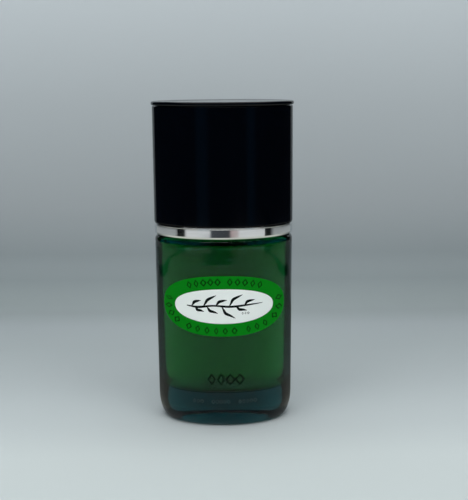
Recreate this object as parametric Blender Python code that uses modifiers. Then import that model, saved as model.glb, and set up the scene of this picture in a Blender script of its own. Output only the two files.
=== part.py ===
"""Flat-oval aftershave bottle with a collar band, a screw closure and a lift-off overcap.

Metres, +Z up. The bottle stands on z = 0, its neck axis is the Z axis and its wide front faces -Y.
The overcap lifts straight up. The closure turns about the Z axis and rises on its thread.
"""

import math

import bmesh
import bpy

MM = 0.001
GAP = 0.3 * MM

# Tessellation
OVAL_SIDES = 48
ROUND_SIDES = 32
THREAD_SECTIONS_PER_TURN = 24

# Glass bottle. The heel is a quarter ellipse in section, and so is the cavity's.
GLASS_HALF_WIDTH = 32.5 * MM
GLASS_HALF_DEPTH = 19.5 * MM
GLASS_WALL = 2.0 * MM
SHOULDER_Z = 91.4 * MM
SHOULDER_THICKNESS = 3.2 * MM
SHOULDER_RADIUS = 2.6 * MM
HEEL_INSET = 4.2 * MM
HEEL_HEIGHT = 12.2 * MM
BASE_THICKNESS = 16.4 * MM
CAVITY_HEEL_INSET = 4.0 * MM
CAVITY_HEEL_HEIGHT = 4.5 * MM
CAVITY_SHOULDER_RADIUS = 2.4 * MM
HEEL_STEPS = 6
SHOULDER_STEPS = 4
PUSH_UP_DEPTH = 1.0 * MM
BEARING_RING_WIDTH = 4.0 * MM

# Neck finish, 22 mm across the thread
NECK_RADIUS = 9.75 * MM
NECK_TOP_Z = SHOULDER_Z + 17.5 * MM
NECK_BORE_RADIUS = 6.0 * MM
SNAP_BEAD_RADIUS = 10.9 * MM
SNAP_BEAD_LOW_Z = SHOULDER_Z + 4.6 * MM
SNAP_BEAD_HIGH_Z = SHOULDER_Z + 6.2 * MM
LIP_CHAMFER = 0.6 * MM

# Thread, single start and right-handed
THREAD_PITCH = 3.18 * MM
THREAD_RIDGE_HEIGHT = 1.05 * MM
THREAD_ROOT_HALF = 0.8 * MM
THREAD_CREST_HALF = 0.35 * MM
THREAD_SUNK = 0.4 * MM
NECK_THREAD_LOW_Z = SHOULDER_Z + 9.2 * MM
NECK_THREAD_TURNS = 1.5
CLOSURE_THREAD_TURNS = 1.25

# Pour plug, pressed into the neck bore
PLUG_FLANGE_RADIUS = 8.4 * MM
PLUG_FLANGE_THICKNESS = 0.8 * MM
PLUG_STEM_RADIUS = 5.8 * MM
PLUG_WELL_RADIUS = 4.5 * MM
PLUG_DEPTH = 8.0 * MM
PLUG_FLOOR = 1.0 * MM
PLUG_ORIFICE_RADIUS = 2.3 * MM

# Screw closure and its liner
LINER_RADIUS = 10.6 * MM
LINER_THICKNESS = 1.0 * MM
CLOSURE_LOW_Z = SHOULDER_Z + 6.7 * MM
CLOSURE_BODY_RADIUS = 12.25 * MM
CLOSURE_BORE_RADIUS = 11.15 * MM
CLOSURE_ROOF = 1.8 * MM
CLOSURE_EDGE = 0.6 * MM
RIB_COUNT = 36
RIB_ROOT_RADIUS = 11.95 * MM
RIB_CREST_RADIUS = 12.6 * MM
RIB_MARGIN = 1.2 * MM

# Collar between the glass and the overcap
COLLAR_LOW_Z = SHOULDER_Z + GAP
COLLAR_PLATE_HIGH_Z = SHOULDER_Z + 4.3 * MM
COLLAR_HIGH_Z = SHOULDER_Z + 5.4 * MM
COLLAR_HOLE_RADIUS = 10.3 * MM
SPIGOT_HIGH_Z = SHOULDER_Z + 12.0 * MM
SPIGOT_WALL = 1.5 * MM
BAND_PROUD = 0.15 * MM
BAND_THICKNESS = 0.6 * MM
BAND_LOW_Z = SHOULDER_Z + 0.4 * MM
BAND_HIGH_Z = BAND_LOW_Z + 5.05 * MM

# Overcap. Its draft makes it a little narrower at the top than at the open end.
OVERCAP_PROUD = 0.2 * MM
OVERCAP_DRAFT = 0.35 * MM
OVERCAP_WALL = 1.5 * MM
OVERCAP_LOW_Z = BAND_HIGH_Z + GAP
OVERCAP_HIGH_Z = 150.6 * MM
TOP_PLATE_THICKNESS = 1.9 * MM
TOP_PLATE_PROUD = 0.5 * MM
TOP_PLATE_EDGE = 0.85 * MM
TOP_LIP_DEPTH = 2.5 * MM
TOP_LIP_WALL = 1.2 * MM
FIT_CLEARANCE = 0.2 * MM
INSERT_WALL = 1.2 * MM
INSERT_LOW_Z = SHOULDER_Z + 7.2 * MM
INSERT_HIGH_Z = INSERT_LOW_Z + 23.0 * MM
SPIGOT_CLEARANCE = 0.35 * MM

# Label, fired on the front of the glass
LABEL_Z = 60.3 * MM
LABEL_HALF_WIDTH = 28.15 * MM
LABEL_HALF_HEIGHT = 14.4 * MM
LABEL_POWER = 2.48
LABEL_INNER_HALF_WIDTH = 22.8 * MM
LABEL_INNER_HALF_HEIGHT = 8.25 * MM
LABEL_INNER_POWER = 2.21
LABEL_LIFT = 0.06 * MM
LABEL_THICKNESS = 0.14 * MM
LABEL_SEAM = 0.1 * MM
LABEL_POINTS = 56

MATERIALS = {
    "green_glass": ((0.03, 0.10, 0.035), 0.05, 0.0),
    "aftershave": ((0.05, 0.22, 0.08), 0.05, 0.0),
    "black_plastic": ((0.004, 0.005, 0.008), 0.12, 0.0),
    "polished_metal": ((0.75, 0.75, 0.75), 0.08, 1.0),
    "white_polymer": ((0.72, 0.72, 0.70), 0.4, 0.0),
    "green_enamel": ((0.002, 0.18, 0.012), 0.3, 0.0),
    "white_enamel": ((0.60, 0.65, 0.64), 0.35, 0.0),
}


def clear_scene():
    for obj in list(bpy.data.objects):
        bpy.data.objects.remove(obj, do_unlink=True)


def new_collection(name):
    collection = bpy.data.collections.new(name)
    bpy.context.scene.collection.children.link(collection)
    return collection


def make_material(name):
    colour, roughness, metallic = MATERIALS[name]
    material = bpy.data.materials.get(name) or bpy.data.materials.new(name)
    material.use_nodes = True
    shader = material.node_tree.nodes["Principled BSDF"]
    shader.inputs["Base Color"].default_value = (*colour, 1.0)
    shader.inputs["Roughness"].default_value = roughness
    shader.inputs["Metallic"].default_value = metallic
    return material


def add_part(name, mesh, material_name):
    obj = bpy.data.objects.new(name, mesh)
    PARTS.objects.link(obj)
    mesh.materials.append(make_material(material_name))
    mesh.shade_smooth()
    mesh.set_sharp_from_angle(angle=math.radians(35))
    return obj


def add_helper(name, mesh):
    """An object that only cuts or joins others."""
    obj = bpy.data.objects.new(name, mesh)
    CUTTERS.objects.link(obj)
    obj.hide_render = True
    obj.display_type = "WIRE"
    return obj


def combine(obj, other, operation):
    modifier = obj.modifiers.new(f"{operation.lower()} {other.name}", "BOOLEAN")
    modifier.operation = operation
    modifier.object = other
    modifier.solver = "EXACT"


def bevel_rim(obj, rim_z, width, segments):
    """Rounds every edge of the flat rim at height rim_z."""
    rim = obj.vertex_groups.new(name=f"rim {len(obj.vertex_groups)}")
    rim.add([v.index for v in obj.data.vertices if abs(v.co.z - rim_z) < 1e-6], 1.0, "ADD")
    modifier = obj.modifiers.new(rim.name, "BEVEL")
    modifier.limit_method = "VGROUP"
    modifier.vertex_group = rim.name
    modifier.width = width
    modifier.segments = segments
    modifier.use_clamp_overlap = False


def oval_mesh(name, half_width, half_depth, low_z, high_z, sides=OVAL_SIDES, draft=0.0):
    """An upright prism on an ellipse, narrower by draft all round at its top."""
    mesh = bpy.data.meshes.new(name)
    shape = bmesh.new()
    bmesh.ops.create_cone(
        shape, cap_ends=True, segments=sides, radius1=1.0, radius2=1.0, depth=high_z - low_z
    )
    for vert in shape.verts:
        inset = draft if vert.co.z > 0 else 0.0
        vert.co.x *= half_width - inset
        vert.co.y *= half_depth - inset
        vert.co.z += (low_z + high_z) / 2
    shape.to_mesh(mesh)
    shape.free()
    return mesh


def quarter_ellipse(inset, height, steps):
    """(inset, height) steps of a rounded edge, from the flat end to the upright wall."""
    angles = [math.pi / 2 * i / steps for i in range(steps + 1)]
    return [(inset * (1 - math.sin(angle)), height * (1 - math.cos(angle))) for angle in angles]


def oval_loft(name, half_width, half_depth, rings):
    """A closed body through ellipses of unlike shape, each given as (inset, z), lowest first."""
    mesh = bpy.data.meshes.new(name)
    shape = bmesh.new()
    loops = []
    for inset, z in rings:
        loop = []
        for i in range(OVAL_SIDES):
            angle = 2 * math.pi * i / OVAL_SIDES
            x = (half_width - inset) * math.cos(angle)
            y = (half_depth - inset) * math.sin(angle)
            loop.append(shape.verts.new((x, y, z)))
        loops.append(loop)
    for lower, upper in zip(loops, loops[1:]):
        for i in range(OVAL_SIDES):
            j = (i + 1) % OVAL_SIDES
            shape.faces.new((lower[i], lower[j], upper[j], upper[i]))
    shape.faces.new(loops[0][::-1])
    shape.faces.new(loops[-1])
    shape.to_mesh(mesh)
    shape.free()
    return mesh


def oval_skin(name, half_width, half_depth, low_z, high_z, draft=0.0, roof=False):
    """The open oval wall that a Solidify thickens inwards, with or without a roof."""
    mesh = oval_mesh(name, half_width, half_depth, low_z, high_z, draft=draft)
    shape = bmesh.new()
    shape.from_mesh(mesh)
    ends = [face for face in shape.faces if abs(face.normal.z) > 0.9]
    opened = [face for face in ends if not (roof and face.normal.z > 0)]
    bmesh.ops.delete(shape, geom=opened, context="FACES_ONLY")
    shape.to_mesh(mesh)
    shape.free()
    return mesh


def solidify(obj, thickness):
    modifier = obj.modifiers.new("wall", "SOLIDIFY")
    modifier.thickness = thickness
    modifier.offset = -1.0
    modifier.use_even_offset = True


def profile_mesh(name, points, ring=False):
    """A profile in the XZ plane, given top to bottom down its outer side."""
    mesh = bpy.data.meshes.new(name)
    last = len(points) - 1
    edges = [(i, i + 1) for i in range(last)] + ([(last, 0)] if ring else [])
    mesh.from_pydata([(radius, 0.0, z) for radius, z in points], edges, [])
    return mesh


def turn_profile(obj):
    modifier = obj.modifiers.new("turned", "SCREW")
    modifier.axis = "Z"
    modifier.steps = ROUND_SIDES
    modifier.render_steps = ROUND_SIDES
    modifier.use_merge_vertices = True
    modifier.merge_threshold = 0.00001
    modifier.use_normal_calculate = False


def thread_mesh(name, wall_radius, outward, low_z, turns):
    """A helical ridge on a round wall, standing outward (1) or inward (-1), faded in at both ends."""
    mesh = bpy.data.meshes.new(name)
    shape = bmesh.new()
    count = round(turns * THREAD_SECTIONS_PER_TURN)
    fade = THREAD_SECTIONS_PER_TURN / 8
    previous = None
    first = None
    for step in range(count + 1):
        angle = 2 * math.pi * step / THREAD_SECTIONS_PER_TURN
        centre_z = low_z + THREAD_PITCH * step / THREAD_SECTIONS_PER_TURN
        full = min(1.0, (step + 0.5) / fade, (count - step + 0.5) / fade)
        root = wall_radius - outward * THREAD_SUNK
        crest = wall_radius + outward * THREAD_RIDGE_HEIGHT * full
        corners = (
            (root, -THREAD_ROOT_HALF),
            (crest, -THREAD_CREST_HALF),
            (crest, THREAD_CREST_HALF),
            (root, THREAD_ROOT_HALF),
        )
        section = [
            shape.verts.new((r * math.cos(angle), r * math.sin(angle), centre_z + up))
            for r, up in corners
        ]
        if previous:
            for i, vert in enumerate(section):
                j = (i + 1) % len(section)
                shape.faces.new((previous[i], previous[j], section[j], vert))
        else:
            first = section
        previous = section
    shape.faces.new(first[::-1])
    shape.faces.new(previous)
    bmesh.ops.recalc_face_normals(shape, faces=shape.faces)
    shape.to_mesh(mesh)
    shape.free()
    return mesh


def superellipse(half_width, half_height, power, count):
    """Points round a superellipse in the XZ plane, in order."""
    points = []
    for i in range(count):
        angle = 2 * math.pi * i / count
        c = math.cos(angle)
        s = math.sin(angle)
        points.append(
            (
                math.copysign(half_width * abs(c) ** (2 / power), c),
                math.copysign(half_height * abs(s) ** (2 / power), s),
            )
        )
    return points


def label_outline_mesh(name, outlines):
    """A flat 2D curve round the outlines, standing in the XZ plane and pushed through the front wall."""
    curve = bpy.data.curves.new(name, "CURVE")
    curve.dimensions = "2D"
    curve.fill_mode = "BOTH"
    curve.extrude = GLASS_HALF_DEPTH / 2
    for outline in outlines:
        spline = curve.splines.new("POLY")
        spline.points.add(len(outline) - 1)
        spline.use_cyclic_u = True
        for point, (x, z) in zip(spline.points, outline):
            point.co = (x, z, 0.0, 1.0)
    obj = bpy.data.objects.new(name, curve)
    CUTTERS.objects.link(obj)
    graph = bpy.context.evaluated_depsgraph_get()
    mesh = bpy.data.meshes.new_from_object(obj.evaluated_get(graph))
    bpy.data.objects.remove(obj, do_unlink=True)
    shape = bmesh.new()
    shape.from_mesh(mesh)
    bmesh.ops.remove_doubles(shape, verts=shape.verts, dist=1e-6)
    for vert in shape.verts:
        x, up, through = vert.co
        vert.co = (x, -GLASS_HALF_DEPTH / 2 - GLASS_WALL - through, LABEL_Z + up)
    bmesh.ops.recalc_face_normals(shape, faces=shape.faces)
    shape.to_mesh(mesh)
    shape.free()
    return mesh


def round_cutter(name, radius, low_z, high_z):
    return add_helper(name, oval_mesh(name, radius, radius, low_z, high_z, sides=ROUND_SIDES))


def glass_rings():
    """The outside of the glass: a tall elliptical heel, straight walls and a small round shoulder."""
    heel = quarter_ellipse(HEEL_INSET, HEEL_HEIGHT, HEEL_STEPS)
    shoulder = quarter_ellipse(SHOULDER_RADIUS, SHOULDER_RADIUS, SHOULDER_STEPS)
    return heel + [(inset, SHOULDER_Z - drop) for inset, drop in reversed(shoulder)]


def cavity_rings():
    """The inside of the glass, measured in from its outside."""
    floor = quarter_ellipse(CAVITY_HEEL_INSET, CAVITY_HEEL_HEIGHT, SHOULDER_STEPS)
    roof = quarter_ellipse(CAVITY_SHOULDER_RADIUS, CAVITY_SHOULDER_RADIUS, SHOULDER_STEPS - 1)
    roof_z = SHOULDER_Z - SHOULDER_THICKNESS
    low = [(GLASS_WALL + inset, BASE_THICKNESS + height) for inset, height in floor]
    return low + [(GLASS_WALL + inset, roof_z - drop) for inset, drop in reversed(roof)]


def build_glass():
    glass = add_part(
        "glass_bottle",
        oval_loft("glass_bottle", GLASS_HALF_WIDTH, GLASS_HALF_DEPTH, glass_rings()),
        "green_glass",
    )
    neck_root_z = SHOULDER_Z - SHOULDER_THICKNESS / 2
    neck = add_helper(
        "neck",
        profile_mesh(
            "neck",
            [
                (0.0, NECK_TOP_Z),
                (NECK_RADIUS - LIP_CHAMFER, NECK_TOP_Z),
                (NECK_RADIUS, NECK_TOP_Z - LIP_CHAMFER),
                (NECK_RADIUS, SNAP_BEAD_HIGH_Z + LIP_CHAMFER),
                (SNAP_BEAD_RADIUS, SNAP_BEAD_HIGH_Z),
                (SNAP_BEAD_RADIUS, SNAP_BEAD_LOW_Z + LIP_CHAMFER / 2),
                (NECK_RADIUS, SNAP_BEAD_LOW_Z),
                (NECK_RADIUS, neck_root_z),
                (0.0, neck_root_z),
            ],
        ),
    )
    turn_profile(neck)
    combine(glass, neck, "UNION")
    thread = add_helper(
        "neck_thread",
        thread_mesh("neck_thread", NECK_RADIUS, 1, NECK_THREAD_LOW_Z, NECK_THREAD_TURNS),
    )
    combine(glass, thread, "UNION")

    cavity = add_helper(
        "cavity", oval_loft("cavity", GLASS_HALF_WIDTH, GLASS_HALF_DEPTH, cavity_rings())
    )
    combine(glass, cavity, "DIFFERENCE")
    bore = round_cutter(
        "neck_bore", NECK_BORE_RADIUS, SHOULDER_Z - 2 * SHOULDER_THICKNESS, NECK_TOP_Z + GAP
    )
    combine(glass, bore, "DIFFERENCE")
    inset = HEEL_INSET + BEARING_RING_WIDTH
    push_up = add_helper(
        "push_up",
        oval_mesh(
            "push_up",
            GLASS_HALF_WIDTH - inset,
            GLASS_HALF_DEPTH - inset,
            -PUSH_UP_DEPTH,
            PUSH_UP_DEPTH,
        ),
    )
    combine(glass, push_up, "DIFFERENCE")


def build_contents():
    """115 ml, up to the roof of the cavity."""
    middle = (BASE_THICKNESS + SHOULDER_Z - SHOULDER_THICKNESS) / 2
    rings = [(inset + GAP, z + GAP if z < middle else z - GAP) for inset, z in cavity_rings()]
    add_part(
        "aftershave_liquid",
        oval_loft("aftershave_liquid", GLASS_HALF_WIDTH, GLASS_HALF_DEPTH, rings),
        "aftershave",
    )


def build_pour_plug():
    flange_low = NECK_TOP_Z + GAP
    flange_high = flange_low + PLUG_FLANGE_THICKNESS
    stem_low = flange_high - PLUG_DEPTH
    plug = add_part(
        "pour_plug",
        profile_mesh(
            "pour_plug",
            [
                (PLUG_WELL_RADIUS, flange_high),
                (PLUG_FLANGE_RADIUS, flange_high),
                (PLUG_FLANGE_RADIUS, flange_low),
                (PLUG_STEM_RADIUS, flange_low),
                (PLUG_STEM_RADIUS, stem_low + PLUG_FLOOR),
                (PLUG_WELL_RADIUS, stem_low),
                (PLUG_ORIFICE_RADIUS, stem_low),
                (PLUG_ORIFICE_RADIUS, stem_low + PLUG_FLOOR),
                (PLUG_WELL_RADIUS, stem_low + PLUG_FLOOR),
            ],
            ring=True,
        ),
        "white_polymer",
    )
    turn_profile(plug)
    return flange_high


def build_closure(plug_top_z):
    """The screw closure and its liner. Both rise on the thread, and the closure also turns."""
    liner_low = plug_top_z + GAP
    liner_high = liner_low + LINER_THICKNESS
    liner = add_part(
        "cap_liner",
        oval_mesh(
            "cap_liner", LINER_RADIUS, LINER_RADIUS, liner_low, liner_high, sides=ROUND_SIDES
        ),
        "white_polymer",
    )
    bore_top = liner_high + GAP
    top = bore_top + CLOSURE_ROOF
    closure = add_part(
        "screw_cap",
        profile_mesh(
            "screw_cap",
            [
                (0.0, top),
                (CLOSURE_BODY_RADIUS - CLOSURE_EDGE, top),
                (CLOSURE_BODY_RADIUS, top - CLOSURE_EDGE),
                (CLOSURE_BODY_RADIUS, CLOSURE_LOW_Z),
                (CLOSURE_BORE_RADIUS, CLOSURE_LOW_Z),
                (CLOSURE_BORE_RADIUS, bore_top),
                (0.0, bore_top),
            ],
        ),
        "black_plastic",
    )
    turn_profile(closure)
    thread = add_helper(
        "closure_thread",
        thread_mesh(
            "closure_thread",
            CLOSURE_BORE_RADIUS,
            -1,
            NECK_THREAD_LOW_Z + THREAD_PITCH / 2,
            CLOSURE_THREAD_TURNS,
        ),
    )
    combine(closure, thread, "UNION")
    ribs = oval_mesh(
        "grip_ribs",
        RIB_CREST_RADIUS,
        RIB_CREST_RADIUS,
        CLOSURE_LOW_Z + RIB_MARGIN,
        top - RIB_MARGIN,
        sides=2 * RIB_COUNT,
    )
    for index, vert in enumerate(ribs.vertices):
        if (index // 2) % 2:
            vert.co.x *= RIB_ROOT_RADIUS / RIB_CREST_RADIUS
            vert.co.y *= RIB_ROOT_RADIUS / RIB_CREST_RADIUS
    rib_ring = add_helper("grip_ribs", ribs)
    combine(rib_ring, round_cutter("rib_bore", RIB_ROOT_RADIUS - GAP, 0.0, 2 * top), "DIFFERENCE")
    combine(closure, rib_ring, "UNION")

    rise = bpy.data.objects.new("closure_rise", None)
    PARTS.objects.link(rise)
    liner.parent = rise
    closure.parent = rise


def spigot_half_sizes():
    """Half width and half depth of the spigot's outside: what fits inside the overcap's insert."""
    inset = OVERCAP_WALL + FIT_CLEARANCE + INSERT_WALL + SPIGOT_CLEARANCE
    return (
        GLASS_HALF_WIDTH + OVERCAP_PROUD - inset,
        GLASS_HALF_DEPTH + OVERCAP_PROUD - inset,
    )


def build_collar():
    inset = BAND_THICKNESS + GAP - BAND_PROUD
    carrier = add_part(
        "collar_carrier",
        oval_mesh(
            "collar_carrier",
            GLASS_HALF_WIDTH - inset,
            GLASS_HALF_DEPTH - inset,
            COLLAR_LOW_Z,
            COLLAR_HIGH_Z,
        ),
        "black_plastic",
    )
    spigot_width, spigot_depth = spigot_half_sizes()
    spigot = add_helper(
        "spigot",
        oval_mesh("spigot", spigot_width, spigot_depth, COLLAR_PLATE_HIGH_Z, SPIGOT_HIGH_Z),
    )
    combine(carrier, spigot, "UNION")
    well = add_helper(
        "spigot_well",
        oval_mesh(
            "spigot_well",
            spigot_width - SPIGOT_WALL,
            spigot_depth - SPIGOT_WALL,
            COLLAR_PLATE_HIGH_Z,
            SPIGOT_HIGH_Z + GAP,
        ),
    )
    combine(carrier, well, "DIFFERENCE")
    hole = round_cutter("collar_hole", COLLAR_HOLE_RADIUS, 0.0, SPIGOT_HIGH_Z)
    combine(carrier, hole, "DIFFERENCE")

    band = add_part(
        "chrome_band",
        oval_skin(
            "chrome_band",
            GLASS_HALF_WIDTH + BAND_PROUD,
            GLASS_HALF_DEPTH + BAND_PROUD,
            BAND_LOW_Z,
            BAND_HIGH_Z,
        ),
        "polished_metal",
    )
    solidify(band, BAND_THICKNESS)


def build_overcap():
    """Shell, top plate and inner insert. They lift off together, straight up the Z axis."""
    lift = bpy.data.objects.new("overcap_lift", None)
    PARTS.objects.link(lift)
    half_width = GLASS_HALF_WIDTH + OVERCAP_PROUD
    half_depth = GLASS_HALF_DEPTH + OVERCAP_PROUD
    shell = add_part(
        "overcap_shell",
        oval_skin(
            "overcap_shell",
            half_width,
            half_depth,
            OVERCAP_LOW_Z,
            OVERCAP_HIGH_Z,
            draft=OVERCAP_DRAFT,
        ),
        "black_plastic",
    )
    solidify(shell, OVERCAP_WALL)

    plate_low = OVERCAP_HIGH_Z + GAP
    plate_high = plate_low + TOP_PLATE_THICKNESS
    out = TOP_PLATE_PROUD - OVERCAP_DRAFT
    plate = add_part(
        "overcap_top",
        oval_mesh("overcap_top", half_width + out, half_depth + out, plate_low, plate_high),
        "black_plastic",
    )
    bevel_rim(plate, plate_low, TOP_PLATE_EDGE, 3)
    bevel_rim(plate, plate_high, TOP_PLATE_EDGE, 3)
    lip_inset = OVERCAP_DRAFT + OVERCAP_WALL + FIT_CLEARANCE
    lip = add_helper(
        "top_lip",
        oval_skin(
            "top_lip",
            half_width - lip_inset,
            half_depth - lip_inset,
            plate_low - TOP_LIP_DEPTH,
            plate_low + TOP_PLATE_THICKNESS / 2,
        ),
    )
    solidify(lip, TOP_LIP_WALL)
    combine(plate, lip, "UNION")

    insert_inset = OVERCAP_WALL + FIT_CLEARANCE
    insert = add_part(
        "overcap_insert",
        oval_skin(
            "overcap_insert",
            half_width - insert_inset,
            half_depth - insert_inset,
            INSERT_LOW_Z,
            INSERT_HIGH_Z,
            draft=OVERCAP_DRAFT / 2,
            roof=True,
        ),
        "white_polymer",
    )
    solidify(insert, INSERT_WALL)
    for piece in (shell, plate, insert):
        piece.parent = lift


def build_label():
    """Two enamel fields that follow the curve of the glass: a ring and the oval inside it."""
    outer = superellipse(LABEL_HALF_WIDTH, LABEL_HALF_HEIGHT, LABEL_POWER, LABEL_POINTS)
    seam = superellipse(
        LABEL_INNER_HALF_WIDTH + LABEL_SEAM,
        LABEL_INNER_HALF_HEIGHT + LABEL_SEAM,
        LABEL_INNER_POWER,
        LABEL_POINTS,
    )
    centre = superellipse(
        LABEL_INNER_HALF_WIDTH, LABEL_INNER_HALF_HEIGHT, LABEL_INNER_POWER, LABEL_POINTS
    )
    fields = (
        ("label_ring", [outer, seam], "green_enamel"),
        ("label_centre", [centre], "white_enamel"),
    )
    for name, outlines, material_name in fields:
        out = LABEL_LIFT + LABEL_THICKNESS
        margin = 2 * LABEL_THICKNESS
        field = add_part(
            name,
            oval_skin(
                name,
                GLASS_HALF_WIDTH + out,
                GLASS_HALF_DEPTH + out,
                LABEL_Z - LABEL_HALF_HEIGHT - margin,
                LABEL_Z + LABEL_HALF_HEIGHT + margin,
            ),
            material_name,
        )
        solidify(field, LABEL_THICKNESS)
        outline = add_helper(f"{name}_outline", label_outline_mesh(f"{name}_outline", outlines))
        combine(field, outline, "INTERSECT")


clear_scene()
PARTS = new_collection("aftershave_bottle")
CUTTERS = new_collection("cutters")
build_glass()
build_contents()
build_closure(build_pour_plug())
build_collar()
build_overcap()
build_label()
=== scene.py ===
"""Looks of a flat-oval green glass aftershave bottle with a chrome collar band and a lift-off overcap.

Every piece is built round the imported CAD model: metres, +Z up, the wide front faces -Y, the neck is on Z.
"""

import logging
import math
from dataclasses import dataclass
from enum import Enum
from typing import Any

import bmesh
import bpy
from mathutils import Matrix, Vector


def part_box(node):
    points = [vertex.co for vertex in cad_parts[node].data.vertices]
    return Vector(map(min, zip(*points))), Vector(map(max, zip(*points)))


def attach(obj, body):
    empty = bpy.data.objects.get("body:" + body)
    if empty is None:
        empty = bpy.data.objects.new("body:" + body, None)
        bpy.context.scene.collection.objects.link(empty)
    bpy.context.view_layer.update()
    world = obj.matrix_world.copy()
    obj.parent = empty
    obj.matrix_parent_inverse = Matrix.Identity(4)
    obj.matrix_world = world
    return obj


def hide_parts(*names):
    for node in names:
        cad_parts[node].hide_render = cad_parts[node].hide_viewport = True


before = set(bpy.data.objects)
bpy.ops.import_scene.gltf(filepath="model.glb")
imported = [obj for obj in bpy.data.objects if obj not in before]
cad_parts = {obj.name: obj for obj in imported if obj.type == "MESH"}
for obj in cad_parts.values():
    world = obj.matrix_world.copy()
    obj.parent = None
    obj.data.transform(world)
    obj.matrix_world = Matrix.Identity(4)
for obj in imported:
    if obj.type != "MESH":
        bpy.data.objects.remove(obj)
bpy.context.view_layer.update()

LOG = logging.getLogger("bottle")
MM = 0.001
TURN = 2 * math.pi
SHARP_EDGE = math.radians(38)
RING_POWER = 2.48
FIELD_POWER = 2.21

Point = tuple[float, float, float]
Colour = tuple[float, float, float]
Row = list[Point]
Stroke = tuple[Point, ...]
Stops = list[tuple[float, Colour]] | tuple[tuple[float, Colour], ...]


class Body(Enum):
    """The rigid bodies that pieces move with."""

    BOTTLE = "bottle"
    LINER = "liner"
    CLOSURE = "closure"
    OVERCAP = "overcap"


class Slot(Enum):
    """The record's material slots."""

    GLASS = "green_glass"
    LIQUID = "aftershave"
    PLUG = "white_polymer"
    CAP = "black_plastic"
    CLOSURE = "closure_plastic"
    LINER = "liner_foam"
    INSERT = "insert_plastic"
    CHROME = "polished_metal"
    GREEN = "green_enamel"
    WHITE = "white_enamel"


class Ends(Enum):
    """How the first and last row of a skin are finished."""

    POLES = "poles"
    JOINED = "joined"


# ---------------------------------------------------------------- shader maths


def add_node(
    tree: bpy.types.NodeTree, kind: str, settings: dict[str, Any], sockets: dict[Any, Any]
) -> bpy.types.Node:
    """Adds a node to a shader or geometry tree.

    Args:
        tree: where it goes.
        kind: the node's type.
        settings: its own settings, set first; "stops" fills a colour ramp.
        sockets: values or links of its inputs, by name or number.

    Returns:
        The new node.
    """
    made = tree.nodes.new(kind)
    for key, value in settings.items():
        if key == "stops":
            fill_ramp(made.color_ramp, value)
        else:
            setattr(made, key, value)
    for key, value in sockets.items():
        source = value.socket if isinstance(value, Signal) else value
        if isinstance(source, bpy.types.NodeSocket):
            tree.links.new(source, made.inputs[key])
        else:
            made.inputs[key].default_value = source
    return made


def fill_ramp(ramp: bpy.types.ColorRamp, stops: Stops) -> None:
    """Sets a ramp's stops from (position, colour) pairs."""
    while len(ramp.elements) < len(stops):
        ramp.elements.new(1.0)
    for element, (position, colour) in zip(ramp.elements, stops):
        element.position = position
        element.color = (*colour, 1.0)


class Signal:
    """A shader value; Python's arithmetic on it adds Math nodes."""

    def __init__(self, graph: "ShaderGraph", socket: bpy.types.NodeSocket) -> None:
        """Keeps the graph and the output socket."""
        self.graph = graph
        self.socket = socket

    def _math(self, operation: str, other: Any) -> "Signal":
        """Adds a Math node that takes this value and another, a number or a Signal."""
        return self.graph.add("ShaderNodeMath", {"operation": operation}, {0: self, 1: other})

    def __add__(self, other: Any) -> "Signal":
        """Sum."""
        return self._math("ADD", other)

    def __sub__(self, other: Any) -> "Signal":
        """Difference."""
        return self._math("SUBTRACT", other)

    def __mul__(self, other: Any) -> "Signal":
        """Product."""
        return self._math("MULTIPLY", other)

    def __truediv__(self, other: Any) -> "Signal":
        """Quotient."""
        return self._math("DIVIDE", other)

    __radd__ = __add__

    def clamped(self) -> "Signal":
        """Held between 0 and 1."""
        return self.graph.add("ShaderNodeClamp", {}, {"Value": self}, "Result")


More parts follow.
